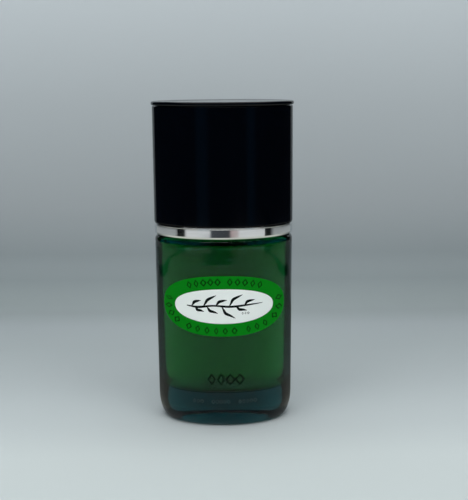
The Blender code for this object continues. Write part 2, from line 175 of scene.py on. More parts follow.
class ShaderGraph:
    """A new material and its node tree."""

    def __init__(self, name: str) -> None:
        """Makes the material, with only an output in its tree."""
        self.material = bpy.data.materials.new(name)
        self.material.use_nodes = True
        self.tree = self.material.node_tree
        self.tree.nodes.clear()
        self.output = self.tree.nodes.new("ShaderNodeOutputMaterial")

    def node(self, kind: str, settings: dict[str, Any], sockets: dict[Any, Any]) -> bpy.types.Node:
        """Adds a node of any type."""
        return add_node(self.tree, kind, settings, sockets)

    def add(self, kind: str, settings: dict[str, Any], sockets: dict[Any, Any], out: Any = 0) -> Signal:
        """Adds a node and returns one of its outputs as a Signal."""
        return Signal(self, self.node(kind, settings, sockets).outputs[out])

    def position(self) -> Signal:
        """Object coordinates, in metres."""
        return self.add("ShaderNodeTexCoord", {}, {}, "Object")

    def axis(self, name: str) -> Signal:
        """One axis of the object coordinates, by its letter."""
        return self.add("ShaderNodeSeparateXYZ", {}, {0: self.position()}, name)

    def noise(self, scale: float, detail: float = 2.0, stretch: Point = (1.0, 1.0, 1.0)) -> Signal:
        """Even noise from 0 to 1.

        Args:
            scale: patches to the metre.
            detail: octaves.
            stretch: factor on each axis.

        Returns:
            The noise value.
        """
        place = self.add("ShaderNodeMapping", {}, {"Vector": self.position(), "Scale": stretch})
        return self.add("ShaderNodeTexNoise", {}, {"Vector": place, "Scale": scale, "Detail": detail}, "Fac")

    def blend(self, share: Any, first: Any, second: Any) -> Signal:
        """Mixes two colours by share."""
        first, second = ((*value, 1.0) if isinstance(value, tuple) else value for value in (first, second))
        return self.add("ShaderNodeMix", {"data_type": "RGBA"}, {"Factor": share, 6: first, 7: second}, 2)

    def bump(self, height: Signal, strength: float, distance: float) -> Signal:
        """Turns a height into a normal."""
        return self.add("ShaderNodeBump", {}, {"Height": height, "Strength": strength, "Distance": distance})

    def ramp(self, share: Signal, stops: Stops) -> Signal:
        """The colour that stops give at a share from 0 to 1."""
        return self.add("ShaderNodeValToRGB", {"stops": stops}, {"Fac": share}, "Color")

    def by_angle(self, tones: Stops) -> Signal:
        """The colour that tones give at each angle round the object, in degrees off the front."""
        across, ahead = self.axis("X"), self.axis("Y") * -1.0
        turned = self.add("ShaderNodeMath", {"operation": "ARCTAN2"}, {0: across, 1: ahead})
        return self.ramp(turned / TURN + 0.5, [(degrees / 360 + 0.5, colour) for degrees, colour in tones])

    def finish(self, surface: bpy.types.Node, volume: bpy.types.Node | None = None) -> bpy.types.Material:
        """Links the surface, and a volume if there is one, and returns the material."""
        self.tree.links.new(surface.outputs[0], self.output.inputs["Surface"])
        if volume is not None:
            self.tree.links.new(volume.outputs[0], self.output.inputs["Volume"])
        return self.material

    def principled(self, sockets: dict[str, Any], volume: bpy.types.Node | None = None) -> bpy.types.Material:
        """Ends the tree with a Principled shader, and a volume if there is one."""
        return self.finish(self.node("ShaderNodeBsdfPrincipled", {}, sockets), volume)


# ---------------------------------------------------------------- finishes


@dataclass(frozen=True)
class ClearTint:
    """Clear coloured matter, tinted by its depth: moulded glass or liquid."""

    name: str
    absorbs: Colour
    density: float
    ior: float
    mirror: float
    waviness: float
    wave_scale: float
    haze: float
    clean: Colour = (1.0, 1.0, 1.0)
    smeared: Colour = (0.93, 0.97, 0.94)

    def material(self) -> bpy.types.Material:
        """Builds the material."""
        graph = ShaderGraph(self.name)
        wave = graph.noise(self.wave_scale, 1.0, (1.0, 1.0, 0.6))
        smear = graph.noise(self.wave_scale * 3, 3.0)
        tint = {"Color": (*self.absorbs, 1.0), "Density": self.density}
        return graph.principled({
            "Base Color": graph.blend(smear, self.clean, self.smeared),
            "Roughness": smear * self.haze,
            "IOR": self.ior,
            "Specular Tint": (self.mirror, self.mirror, self.mirror, 1.0),
            "Transmission Weight": 1.0,
            "Normal": graph.bump(wave, self.waviness, 1 * MM),
        }, graph.node("ShaderNodeVolumeAbsorption", {}, tint))


@dataclass(frozen=True)
class MouldedPlastic:
    """Injection-moulded plastic with soft clouding, wipe marks and a fine skin."""

    name: str
    deep: Colour
    light: Colour
    smooth: float
    worn: float
    specular: float
    skin_scale: float
    skin_strength: float

    def material(self) -> bpy.types.Material:
        """Builds the material."""
        graph = ShaderGraph(self.name)
        cloud = graph.noise(35.0, 3.0, (1.0, 1.0, 0.35))
        wipes = graph.noise(140.0, 4.0, (1.0, 1.0, 0.12))
        skin = graph.noise(self.skin_scale, 2.0)
        return graph.principled({
            "Base Color": graph.blend((cloud * 1.6 - 0.3).clamped(), self.deep, self.light),
            "Roughness": self.smooth + wipes * (self.worn - self.smooth),
            "Specular IOR Level": self.specular,
            "Normal": graph.bump(skin, self.skin_strength, 0.05 * MM),
        })


@dataclass(frozen=True)
class PlatedMetal:
    """Bright plating with fine wipe scratches along the band."""

    name: str
    bright: Colour
    dull: Colour
    smooth: float
    worn: float

    def material(self) -> bpy.types.Material:
        """Builds the material."""
        graph = ShaderGraph(self.name)
        cloud = graph.noise(120.0, 3.0)
        scratches = graph.noise(900.0, 2.0, (0.06, 0.06, 1.0))
        return graph.principled({
            "Base Color": graph.blend(cloud, self.bright, self.dull),
            "Metallic": 1.0,
            "Roughness": self.smooth + scratches * (self.worn - self.smooth),
            "Normal": graph.bump(scratches, 0.04, 0.02 * MM),
        })


@dataclass(frozen=True)
class FiredEnamel:
    """Printed enamel or ink fired on glass: slightly uneven, with a soft shine."""

    name: str
    thick: Colour
    thin: Colour
    smooth: float
    lift: float
    specular: float = 0.06

    def material(self) -> bpy.types.Material:
        """Builds the material."""
        graph = ShaderGraph(self.name)
        cover, grain = graph.noise(160.0, 4.0), graph.noise(2600.0, 2.0)
        return graph.principled({
            "Base Color": graph.blend(cover, self.thick, self.thin),
            "Roughness": self.smooth + grain * 0.12,
            "Specular IOR Level": self.specular,
            "Normal": graph.bump(grain * 0.5 + cover, self.lift, 0.04 * MM),
        })


GLASS = ClearTint("moulded_green_glass", (0.0, 0.745, 0.76), 330.0, 1.5, 0.4, 0.05, 60.0, 0.02)
LIQUID = ClearTint("green_aftershave", (0.0, 0.60, 0.0), 150.0, 1.4, 0.05, 0.01, 40.0, 0.01)
CAP_BLACK = MouldedPlastic(
    "polished_black_moulding", (0.0002, 0.0006, 0.0018), (0.0005, 0.0012, 0.0030),
    0.05, 0.14, 0.25, 900.0, 0.05,
)
CLOSURE_BLACK = MouldedPlastic(
    "closure_black_moulding", (0.006, 0.006, 0.007), (0.010, 0.010, 0.011), 0.22, 0.4, 0.5, 1500.0, 0.15
)
NATURAL = MouldedPlastic(
    "natural_moulding", (0.60, 0.60, 0.57), (0.72, 0.72, 0.69), 0.35, 0.5, 0.4, 700.0, 0.12
)
PLUG_WHITE = MouldedPlastic(
    "plug_moulding", (0.66, 0.67, 0.66), (0.76, 0.76, 0.74), 0.3, 0.42, 0.45, 900.0, 0.08
)
WAD_WHITE = MouldedPlastic("sealing_wad", (0.70, 0.70, 0.67), (0.82, 0.82, 0.79), 0.7, 0.9, 0.3, 3500.0, 0.5)
CHROME = PlatedMetal("bright_plating", (0.86, 0.86, 0.87), (0.78, 0.79, 0.80), 0.03, 0.12)
GREEN = FiredEnamel("green_enamel_print", (0.0, 0.20, 0.005), (0.0005, 0.23, 0.007), 0.34, 0.3)
WHITE = FiredEnamel("white_enamel_print", (0.91, 0.95, 0.92), (0.96, 0.99, 0.95), 0.36, 0.3)
INK = FiredEnamel("dark_ink_print", (0.002, 0.004, 0.004), (0.005, 0.010, 0.008), 0.35, 0.4)
GREEN_INK = FiredEnamel("green_ink_print", (0.0, 0.005, 0.0), (0.0005, 0.009, 0.001), 0.45, 0.4)
PALE_INK = FiredEnamel("pale_ink_print", (0.030, 0.045, 0.045), (0.040, 0.058, 0.056), 0.4, 0.4)


# ---------------------------------------------------------------- mesh helpers


def finish_mesh(name: str, mesh: bpy.types.Mesh, finish: bpy.types.Material) -> bpy.types.Object:
    """Shades a mesh smooth between its sharp edges and makes it an object.

    Args:
        name: the object's name.
        mesh: its mesh.
        finish: its material.

    Returns:
        The new object, at the origin.
    """
    mesh.materials.clear()
    mesh.materials.append(finish)
    mesh.shade_smooth()
    mesh.set_sharp_from_angle(angle=SHARP_EDGE)
    made = bpy.data.objects.new(name, mesh)
    bpy.context.scene.collection.objects.link(made)
    return made


def skin(name: str, rows: list[Row], ends: Ends, finish: bpy.types.Material) -> bpy.types.Object:
    """Bridges rows of points, each a closed loop, into one closed surface.

    Args:
        name: the piece's name.
        rows: loops of equal length, in order.
        ends: whether the end rows close on a point each or join each other.
        finish: the piece's material.

    Returns:
        The piece, with its faces outwards.
    """
    shape = bmesh.new()
    loops = [[shape.verts.new(point) for point in row] for row in rows]
    pairs = list(zip(loops, loops[1:]))
    if ends is Ends.JOINED:
        pairs.append((loops[-1], loops[0]))
    for lower, upper in pairs:
        for i in range(len(lower)):
            j = (i + 1) % len(lower)
            shape.faces.new((lower[i], lower[j], upper[j], upper[i]))
    if ends is Ends.POLES:
        for loop in (loops[0], loops[-1]):
            pole = shape.verts.new(sum((vert.co for vert in loop), Vector()) / len(loop))
            for i, vert in enumerate(loop):
                shape.faces.new((vert, loop[(i + 1) % len(loop)], pole))
    bmesh.ops.recalc_face_normals(shape, faces=shape.faces)
    mesh = bpy.data.meshes.new(name)
    shape.to_mesh(mesh)
    shape.free()
    return finish_mesh(name, mesh, finish)


def oval_row(half_width: float, half_depth: float, z: float, sides: int) -> Row:
    """Points round an ellipse at one height."""
    steps = [TURN * i / sides for i in range(sides)]
    return [(half_width * math.cos(a), half_depth * math.sin(a), z) for a in steps]


def arc_steps(inset: float, height: float, steps: int) -> list[tuple[float, float]]:
    """(inset, height) down a quarter ellipse, from the flat end to the upright wall."""
    angles = [math.pi / 2 * i / steps for i in range(steps + 1)]
    return [(inset * (1 - math.sin(a)), height * (1 - math.cos(a))) for a in angles]


def lathe(
    name: str, profile: list[Point], sides: int, ends: Ends, finish: bpy.types.Material
) -> bpy.types.Object:
    """A skin through ellipses, each given by (half width, half depth, z)."""
    return skin(name, [oval_row(x, y, z, sides) for x, y, z in profile], ends, finish)


def stepped(wide: float, deep: float, steps: Any) -> list[Point]:
    """A lathe profile from (inset, z) steps in from an ellipse."""
    return [(wide - inset, deep - inset, z) for inset, z in steps]


def rounds(steps: Any) -> list[Point]:
    """A lathe profile from (radius, z) steps."""
    return [(radius, radius, z) for radius, z in steps]


def between(first: float, last: float, count: int) -> list[float]:
    """Even steps strictly between two numbers."""
    return [first + (last - first) * i / (count + 1) for i in range(1, count + 1)]


@dataclass(frozen=True)
class NodeSize:
    """Half sizes and heights of a CAD node at rest."""

    half_width: float
    half_depth: float
    low: float
    high: float

    @classmethod
    def of(cls, node: str) -> "NodeSize":
        """Reads a node's box."""
        low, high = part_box(node)
        return cls((high.x - low.x) / 2, (high.y - low.y) / 2, low.z, high.z)


@dataclass(frozen=True)
class Thread:
    """A single-start right-handed thread ridge."""

    low: float
    turns: float
    pitch: float = 3.18 * MM
    height: float = 1.05 * MM
    root_half: float = 0.8 * MM
    crest_half: float = 0.35 * MM
    fade_turns: float = 0.125

    def rise(self, angle: float, z: float) -> float:
        """Height of the ridge at a place on the wall.

        Args:
            angle: round the axis, from 0 to a turn.
            z: height in the model.

        Returns:
            How far the wall stands out there.
        """
        best = 0.0
        for lap in range(math.ceil(self.turns) + 1):
            run = angle / TURN + lap
            if run > self.turns:
                break
            off = abs(z - self.low - self.pitch * run)
            flank = (self.root_half - off) / (self.root_half - self.crest_half)
            end = min(run, self.turns - run) / self.fade_turns
            best = max(best, self.height * min(1.0, max(0.0, flank)) * min(1.0, max(0.0, end)))
        return best

    def rows(self, wall: float, way: float, sides: int, step: float) -> list[Row]:
        """Rows up a round wall that carries the ridge.

        Args:
            wall: the wall's radius.
            way: 1 for a ridge that stands outwards, -1 for one that stands inwards.
            sides: points to a row.
            step: height from row to row.

        Returns:
            The rows, upwards.
        """
        start = self.low - self.root_half
        end = self.low + self.pitch * self.turns + self.root_half
        rows = []
        for z in (start + i * step for i in range(math.ceil((end - start) / step) + 1)):
            row = []
            for angle in (TURN * i / sides for i in range(sides)):
                radius = wall + way * self.rise(angle, z)
                row.append((radius * math.cos(angle), radius * math.sin(angle), z))
            rows.append(row)
        return rows


def place(piece: bpy.types.Object, body: Body, slot: Slot, *nodes: str) -> bpy.types.Object:
    """Gives a finished piece its body and hides the CAD nodes that it stands for.

    Args:
        piece: the finished piece.
        body: what it moves with.
        slot: the record's slot; not used.
        nodes: CAD nodes hidden by it.

    Returns:
        The same piece.
    """
    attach(piece, body.value)
    if nodes:
        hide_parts(*nodes)
    LOG.info("%s: %d faces, on %s", piece.name, len(piece.data.polygons), body.value)
    return piece


# ---------------------------------------------------------------- bottle


@dataclass
class GlassBottle:
    """Heavy oval glass with a tall rounded heel, a thick base and a threaded neck, and its contents."""

    outer: NodeSize
    shoulder: float
    liquid_top: float
    wall: float = 2.0 * MM
    shoulder_radius: float = 2.6 * MM
    roof_thickness: float = 3.2 * MM
    heel_inset: float = 4.2 * MM
    heel_height: float = 12.2 * MM
    base: float = 16.4 * MM
    cavity_heel: tuple[float, float] = (4.0 * MM, 4.5 * MM)
    cavity_shoulder: float = 2.4 * MM
    push_up: float = 1.0 * MM
    ring_width: float = 4.0 * MM
    neck: float = 9.75 * MM
    bore: float = 6.0 * MM
    flare: float = 0.8 * MM
    bead: float = 10.9 * MM
    bead_rise: tuple[float, float] = (4.6 * MM, 6.2 * MM)
    lip: float = 0.6 * MM
    thread_rise: float = 9.2 * MM
    thread_turns: float = 1.5
    overlap: float = 0.06 * MM
    sides: int = 160
    thread_step: float = 0.16 * MM

    def _oval(self, inset: float, z: float) -> Row:
        """A row round the plan, in by inset."""
        return oval_row(self.outer.half_width - inset, self.outer.half_depth - inset, z, self.sides)

    def _round(self, radius: float, z: float) -> Row:
        """A row round the neck axis."""
        return oval_row(radius, radius, z, self.sides)

    def _morph(self, start: tuple[float, float], end: tuple[float, float], z: float, count: int) -> list[Row]:
        """Flat rows between two ovals given by half width and half depth."""
        (wide, deep), (far_wide, far_deep) = start, end
        return [
            oval_row(wide + (far_wide - wide) * t, deep + (far_deep - deep) * t, z, self.sides)
            for t in between(0.0, 1.0, count)
        ]

    def _outside(self) -> list[Row]:
        """Rows from the middle of the underside up to the foot of the neck."""
        inner = self.heel_inset + self.ring_width
        underside = (
            (4.0, self.push_up + 0.12 * MM), (1.4, self.push_up), (0.7, self.push_up * 0.8),
            (0.2, self.push_up * 0.3), (-0.3, 0.04 * MM), (-1.0, 0.0),
        )
        rows = [self._oval(inner + inset * MM, z) for inset, z in underside]
        rows += [self._oval(inset, z) for inset, z in arc_steps(self.heel_inset, self.heel_height, 24)]
        top = self.shoulder - self.shoulder_radius
        rows += [self._oval(0.0, z) for z in between(self.heel_height, top, 10)]
        curve = arc_steps(self.shoulder_radius, self.shoulder_radius, 12)
        rows += [self._oval(inset, self.shoulder - drop) for inset, drop in reversed(curve)]
        edge = (self.outer.half_width - self.shoulder_radius, self.outer.half_depth - self.shoulder_radius)
        foot = self.neck + 0.3 * MM
        rows += self._morph(edge, (foot, foot), self.shoulder, 8)
        rows.append(self._round(foot, self.shoulder))
        return rows + [self._round(self.neck + 0.06 * MM, self.shoulder + 0.1 * MM)]

    def _neck_rows(self) -> list[Row]:
        """Rows up the neck: snap bead, thread and lip, then over into the bore."""
        low, high = (self.shoulder + rise for rise in self.bead_rise)
        profile = [(self.neck, self.shoulder + 0.3 * MM), (self.neck, low)]
        profile += [(self.bead - 0.3 * MM, low + 0.1 * MM), (self.bead, low + 0.4 * MM)]
        profile += [(self.bead, high - 0.3 * MM), (self.bead - 0.2 * MM, high)]
        profile += [(self.neck + 0.15 * MM, high + 0.5 * MM), (self.neck, high + 0.7 * MM)]
        rows = [self._round(radius, z) for radius, z in profile]
        thread = Thread(self.shoulder + self.thread_rise, self.thread_turns)
        rows += thread.rows(self.neck, 1.0, self.sides, self.thread_step)
        top, curve = self.outer.high, arc_steps(self.lip, self.lip, 5)
        rows += [self._round(self.neck - inset, top - drop) for inset, drop in reversed(curve)]
        return rows + [self._round(self.bore + inset, top - drop) for inset, drop in curve]

    def _roof_edge(self) -> tuple[float, float]:
        """Half width and half depth of the flat part of the cavity's roof."""
        edge = self.wall + self.cavity_shoulder
        return (self.outer.half_width - edge, self.outer.half_depth - edge)

    def _inside(self, grow: float = 0.0) -> list[Row]:
        """Rows from the cavity's roof edge down to the middle of its floor, wider all round by grow."""
        roof, wall, floor = self.shoulder - self.roof_thickness + grow, self.wall - grow, self.base - grow
        inset, height = self.cavity_heel
        bend, heel = arc_steps(self.cavity_shoulder, self.cavity_shoulder, 8), arc_steps(inset, height, 12)
        rows = [self._oval(wall + i, roof - drop) for i, drop in bend]
        rows += [self._oval(wall, z) for z in between(self.liquid_top - 4 * MM, self.base + height, 8)]
        rows += [self._oval(wall + i, floor + rise) for i, rise in reversed(heel)]
        return rows + [self._oval(self.wall + inset + 5 * MM, floor)]

    def glass(self) -> bpy.types.Object:
        """One closed surface: underside, outside, neck, bore and cavity."""
        roof, flare = self.shoulder - self.roof_thickness, self.flare
        rows = self._outside() + self._neck_rows()
        rows += [self._round(self.bore, z) for z in between(self.outer.high - self.lip, roof + flare, 4)]
        rows += [self._round(self.bore + i, roof + rise) for i, rise in reversed(arc_steps(flare, flare, 5))]
        rows += self._morph((self.bore + flare, self.bore + flare), self._roof_edge(), roof, 6)
        rows += self._inside()
        return skin("bottle_glass", rows, Ends.POLES, GLASS.material())

    def liquid(self) -> bpy.types.Object:
        """The contents, brimful: they wet the glass all round, up to the foot of the bore."""
        roof = self.shoulder - self.roof_thickness + self.overlap
        rows = self._morph((1 * MM, 1 * MM), self._roof_edge(), roof, 6)
        return skin("bottle_contents", rows + self._inside(self.overlap), Ends.POLES, LIQUID.material())

    def build(self) -> None:
        """Makes and places the glass and the contents."""
        place(self.glass(), Body.BOTTLE, Slot.GLASS, "glass_bottle")
        place(self.liquid(), Body.BOTTLE, Slot.LIQUID, "aftershave_liquid")


# ---------------------------------------------------------------- label


@dataclass(frozen=True)
class Outline:
    """A superellipse about the label's centre."""

    half_width: float
    half_height: float
    power: float

    def at(self, angle: float) -> tuple[float, float]:
        """Its point at an angle, as across and up."""
        c, s = math.cos(angle), math.sin(angle)
        return (
            math.copysign(self.half_width * abs(c) ** (2 / self.power), c),
            math.copysign(self.half_height * abs(s) ** (2 / self.power), s),
        )

    def spread(self, start: float, end: float, count: int) -> list[float]:
        """Angles from start to end whose points stand evenly along the outline."""
        steps = 90
        angles = [start + (end - start) * i / steps for i in range(steps + 1)]
        runs = [0.0]
        for first, second in zip(angles, angles[1:]):
            runs.append(runs[-1] + math.dist(self.at(first), self.at(second)))
        wanted = [runs[-1] * i / (count - 1) for i in range(count)]
        return [min(zip(runs, angles), key=lambda pair: abs(pair[0] - run))[1] for run in wanted]

    def toward(self, other: "Outline", share: float) -> "Outline":
        """The outline a share of the way to another."""
        mine = (self.half_width, self.half_height, self.power)
        theirs = (other.half_width, other.half_height, other.power)
        return Outline(*(a + (b - a) * share for a, b in zip(mine, theirs)))


@dataclass
class Label:
    """Two fired enamel fields on the front of the glass, with generic ornament."""

    glass: NodeSize
    centre: float
    outer: Outline
    inner: Outline
    seam: float = 0.1 * MM
    top: float = 0.2 * MM
    sunk: float = 0.03 * MM
    ink: float = 0.03 * MM
    edge: float = 0.22 * MM
    steps: int = 256

    def on_glass(self, across: float, up: float, lift: float) -> Point:
        """A place on the front of the glass.

        Args:
            across: x.
            up: z, above the foot of the bottle.
            lift: how far it stands off the glass.

        Returns:
            The point.
        """
        width, depth = self.glass.half_width + lift, self.glass.half_depth + lift
        return (across, -depth * math.sqrt(max(0.0, 1 - (across / width) ** 2)), up)

    def _loop(self, outline: Outline, lift: float) -> Row:
        """An outline laid on the glass."""
        loop = []
        for i in range(self.steps):
            across, up = outline.at(TURN * i / self.steps)
            loop.append(self.on_glass(across, self.centre + up, lift))
        return loop

    def _pad(self, first: Outline, last: Outline, shares: list[tuple[float, float]]) -> list[Row]:
        """Rows of a thin field on the glass: over its face from first to last, then back under it."""
        fields = [(first.toward(last, share), lift * self.top) for share, lift in shares]
        rows = [self._loop(outline, lift) for outline, lift in fields]
        return rows + [self._loop(outline, -self.sunk) for outline, _ in reversed(fields)]

    def ring(self) -> bpy.types.Object:
        """The green field between the two outlines."""
        shares = [(0.0, 0.35), (0.012, 0.75), (0.035, 1.0), (0.06, 1.0)]
        shares += [(s, 1.0) for s in between(0.06, 0.94, 9)]
        shares += [(0.94, 1.0), (0.965, 1.0), (0.988, 0.75), (1.0, 0.35)]
        rows = self._pad(self.inner, self.outer, shares)
        return skin("label_green_ring", rows, Ends.JOINED, GREEN.material())

    def field(self) -> bpy.types.Object:
        """The white field inside."""
        rim = Outline(self.inner.half_width - self.seam, self.inner.half_height - self.seam, self.inner.power)
        point = Outline(0.05 * MM, 0.02 * MM, 2.0)
        shares = [(s, 1.0) for s in between(0.0, 0.97, 14)]
        shares += [(0.975, 1.0), (0.988, 0.9), (0.996, 0.7), (1.0, 0.35)]
        return skin("label_white_field", self._pad(point, rim, shares), Ends.POLES, WHITE.material())

    def brush(
        self, name: str, strokes: list[Stroke], base: float, finish: bpy.types.Material
    ) -> bpy.types.Object:
        """Brush strokes as thin raised ink, each tapering along its path.

        Args:
            name: the piece's name.
            strokes: their paths, through (across, up, half width) points in mm.
            base: lift of the surface they lie on.
            finish: the ink.

        Returns:
            One piece holding every stroke.
        """
        parts = [self._stroke(f"{name}_{i}", stroke, base, finish) for i, stroke in enumerate(strokes)]
        return joined(name, parts)

    def _stroke(self, name: str, stroke: Stroke, base: float, finish: bpy.types.Material) -> bpy.types.Object:
        """One tapered stroke with rounded shoulders."""
        path = smooth_path(stroke, 10)
        rows = []
        for i, (across, up, half) in enumerate(path):
            before, after = path[max(0, i - 1)], path[min(len(path) - 1, i + 1)]
            run, climb = after[0] - before[0], after[1] - before[1]
            size = math.hypot(run, climb) or 1.0
            side = (-climb / size, run / size)
            row = []
            for reach, lift in ((-1.0, -1.0), (-1.0, 0.5), (-0.7, 1.0), (0.7, 1.0), (1.0, 0.5), (1.0, -1.0)):
                x = (across + side[0] * half * reach) * MM
                z = self.centre + (up + side[1] * half * reach) * MM
                row.append(self.on_glass(x, z, base + self.ink * lift))
            rows.append(row)
        return skin(name, rows, Ends.POLES, finish)


def smooth_path(points: tuple[Point, ...], steps: int) -> list[Point]:
    """A Catmull-Rom path through points.

    Args:
        points: what it passes through.
        steps: samples between each two.

    Returns:
        The samples, ends included.
    """
    knots = [Vector(p) for p in points]
    knots = [2 * knots[0] - knots[1], *knots, 2 * knots[-1] - knots[-2]]
    path: list[Point] = []
    for a, b, c, d in zip(knots, knots[1:], knots[2:], knots[3:]):
        for step in range(steps):
            t = step / steps
            bend, twist = 2 * a - 5 * b + 4 * c - d, 3 * b - a - 3 * c + d
            spot = 0.5 * (2 * b + (c - a) * t + bend * t * t + twist * t**3)
            path.append((spot.x, spot.y, max(spot.z, 0.02)))
    path.append(tuple(points[-1]))
    return path


def joined(name: str, parts: list[bpy.types.Object]) -> bpy.types.Object:
    """Puts several objects' meshes in one object and removes them."""
    shape = bmesh.new()
    finish = parts[0].data.materials[0]
    for part in parts:
        shape.from_mesh(part.data)
        bpy.data.objects.remove(part, do_unlink=True)
    mesh = bpy.data.meshes.new(name)
    shape.to_mesh(mesh)
    shape.free()
    return finish_mesh(name, mesh, finish)


# ---------------------------------------------------------------- repeated shapes


class NodeModel:
    """A Geometry Nodes tree with named inputs."""

    def __init__(self, name: str) -> None:
        """Starts a tree that takes and gives a geometry."""
        self.tree = bpy.data.node_groups.new(name, "GeometryNodeTree")
        self.keys: dict[str, str] = {}
        face = self.tree.interface
        face.new_socket("Geometry", in_out="INPUT", socket_type="NodeSocketGeometry")
        face.new_socket("Geometry", in_out="OUTPUT", socket_type="NodeSocketGeometry")
        self.source = self.tree.nodes.new("NodeGroupInput")
        self.result = self.tree.nodes.new("NodeGroupOutput")

    def size(self, name: str, kind: str = "NodeSocketFloat") -> bpy.types.NodeSocket:
        """Adds a named input and returns it as a link source."""
        socket = self.tree.interface.new_socket(name, in_out="INPUT", socket_type=kind)
        self.keys[name] = socket.identifier
        return self.source.outputs[name]

    def node(self, kind: str, settings: dict[str, Any], sockets: dict[Any, Any]) -> bpy.types.Node:
        """Adds a node; a value that is a socket is linked."""
        return add_node(self.tree, kind, settings, sockets)

    def apply(
        self, name: str, base: bpy.types.Mesh, out: bpy.types.NodeSocket, finish: bpy.types.Material,
        sizes: dict[str, Any],
    ) -> bpy.types.Object:
        """Ends the tree, runs it once and keeps its result as a plain mesh.

        Args:
            name: the piece's name.
            base: the mesh that the tree starts from.
            out: the tree's last geometry.
            finish: the material it sets.
            sizes: a value for each named input.

        Returns:
            The finished piece.
        """
        real = self.node("GeometryNodeRealizeInstances", {}, {0: out})
        dress = self.node("GeometryNodeSetMaterial", {}, {"Geometry": real.outputs[0], "Material": finish})
        self.tree.links.new(dress.outputs[0], self.result.inputs[0])
        carrier = bpy.data.objects.new(f"{name}_carrier", base)
        bpy.context.scene.collection.objects.link(carrier)
        modifier = carrier.modifiers.new("repeat", "NODES")
        modifier.node_group = self.tree
        for key, value in sizes.items():
            modifier[self.keys[key]] = value
        graph = bpy.context.evaluated_depsgraph_get()
        mesh = bpy.data.meshes.new_from_object(carrier.evaluated_get(graph))
        bpy.data.objects.remove(carrier, do_unlink=True)
        mesh.name = name
        return finish_mesh(name, mesh, finish)


def point_mesh(name: str, spots: list[Point]) -> bpy.types.Mesh:
    """Bare points from (across, up, turn), each with its turn for what stands on it."""
    mesh = bpy.data.meshes.new(name)
    mesh.from_pydata([(across, up, 0.0) for across, up, _ in spots], [], [])
    mesh.attributes.new("turn", "FLOAT", "POINT").data.foreach_set("value", [turn for _, _, turn in spots])
    return mesh


@dataclass
class Lozenges:
    """Rows of small open lozenges, a generic border ornament in print."""

    label: Label
    half_width: float = 1.15 * MM
    half_height: float = 1.5 * MM
    line: float = 0.62 * MM
    depth: float = 0.05 * MM
    smallest: Point = (0.62, 0.94, 1.0)
    largest: Point = (1.08, 1.02, 1.0)
    seed: int = 7

    def build(
        self, name: str, spots: list[Point], grow: float, base: float, finish: bpy.types.Material
    ) -> bpy.types.Object:
        """Prints lozenges on the glass or the label.

        Args:
            name: the piece's name.
            spots: (across, up, turn) of each, across and up in metres from the label's centre.
            grow: size beside the usual one.
            base: lift of the surface under them.
            finish: the ink.

        Returns:
            One piece that holds them all.
        """
        model = NodeModel("lozenge_row")
        wide, tall = model.size("Half Width"), model.size("Half Height")
        line, depth = model.size("Line"), model.size("Depth")
        seed = model.size("Seed", "NodeSocketInt")
        four = {"Resolution": 4, "Radius": 1.0}
        loop = model.node("GeometryNodeCurvePrimitiveCircle", {"mode": "RADIUS"}, four)
        size = model.node("ShaderNodeCombineXYZ", {}, {"X": wide, "Y": tall, "Z": 1.0})
        shaped = model.node("GeometryNodeTransform", {}, {
            "Geometry": loop.outputs[0], "Scale": size.outputs[0],
        })
        bar = model.node("GeometryNodeCurvePrimitiveQuadrilateral", {}, {"Width": line, "Height": depth})
        solid = model.node("GeometryNodeCurveToMesh", {}, {
            "Curve": shaped.outputs[0], "Profile Curve": bar.outputs[0], "Fill Caps": True,
        })
        turn = model.node("GeometryNodeInputNamedAttribute", {"data_type": "FLOAT"}, {"Name": "turn"})
        spin = model.node("ShaderNodeCombineXYZ", {}, {"Z": turn.outputs["Attribute"]})
        vary = model.node("FunctionNodeRandomValue", {"data_type": "FLOAT_VECTOR"}, {
            0: self.smallest, 1: self.largest, "Seed": seed,
        })
        copies = model.node("GeometryNodeInstanceOnPoints", {}, {
            "Points": model.source.outputs["Geometry"], "Instance": solid.outputs[0],
            "Rotation": spin.outputs[0], "Scale": vary.outputs[0],
        })
        sizes = {
            "Half Width": self.half_width * grow, "Half Height": self.half_height * grow,
            "Line": self.line * grow, "Depth": self.depth, "Seed": self.seed,
        }
        piece = model.apply(name, point_mesh(name, spots), copies.outputs[0], finish, sizes)
        for vert in piece.data.vertices:
            across, up, lift = vert.co
            vert.co = self.label.on_glass(across, self.label.centre + up, base + lift)
        return outwards(piece)


def outwards(piece: bpy.types.Object) -> bpy.types.Object:
    """Merges a closed piece's doubles and turns its faces outwards."""
    shape = bmesh.new()
    shape.from_mesh(piece.data)
    bmesh.ops.remove_doubles(shape, verts=shape.verts, dist=1e-7)
    bmesh.ops.recalc_face_normals(shape, faces=shape.faces)
    shape.to_mesh(piece.data)
    shape.free()
    piece.data.set_sharp_from_angle(angle=SHARP_EDGE)
    return piece


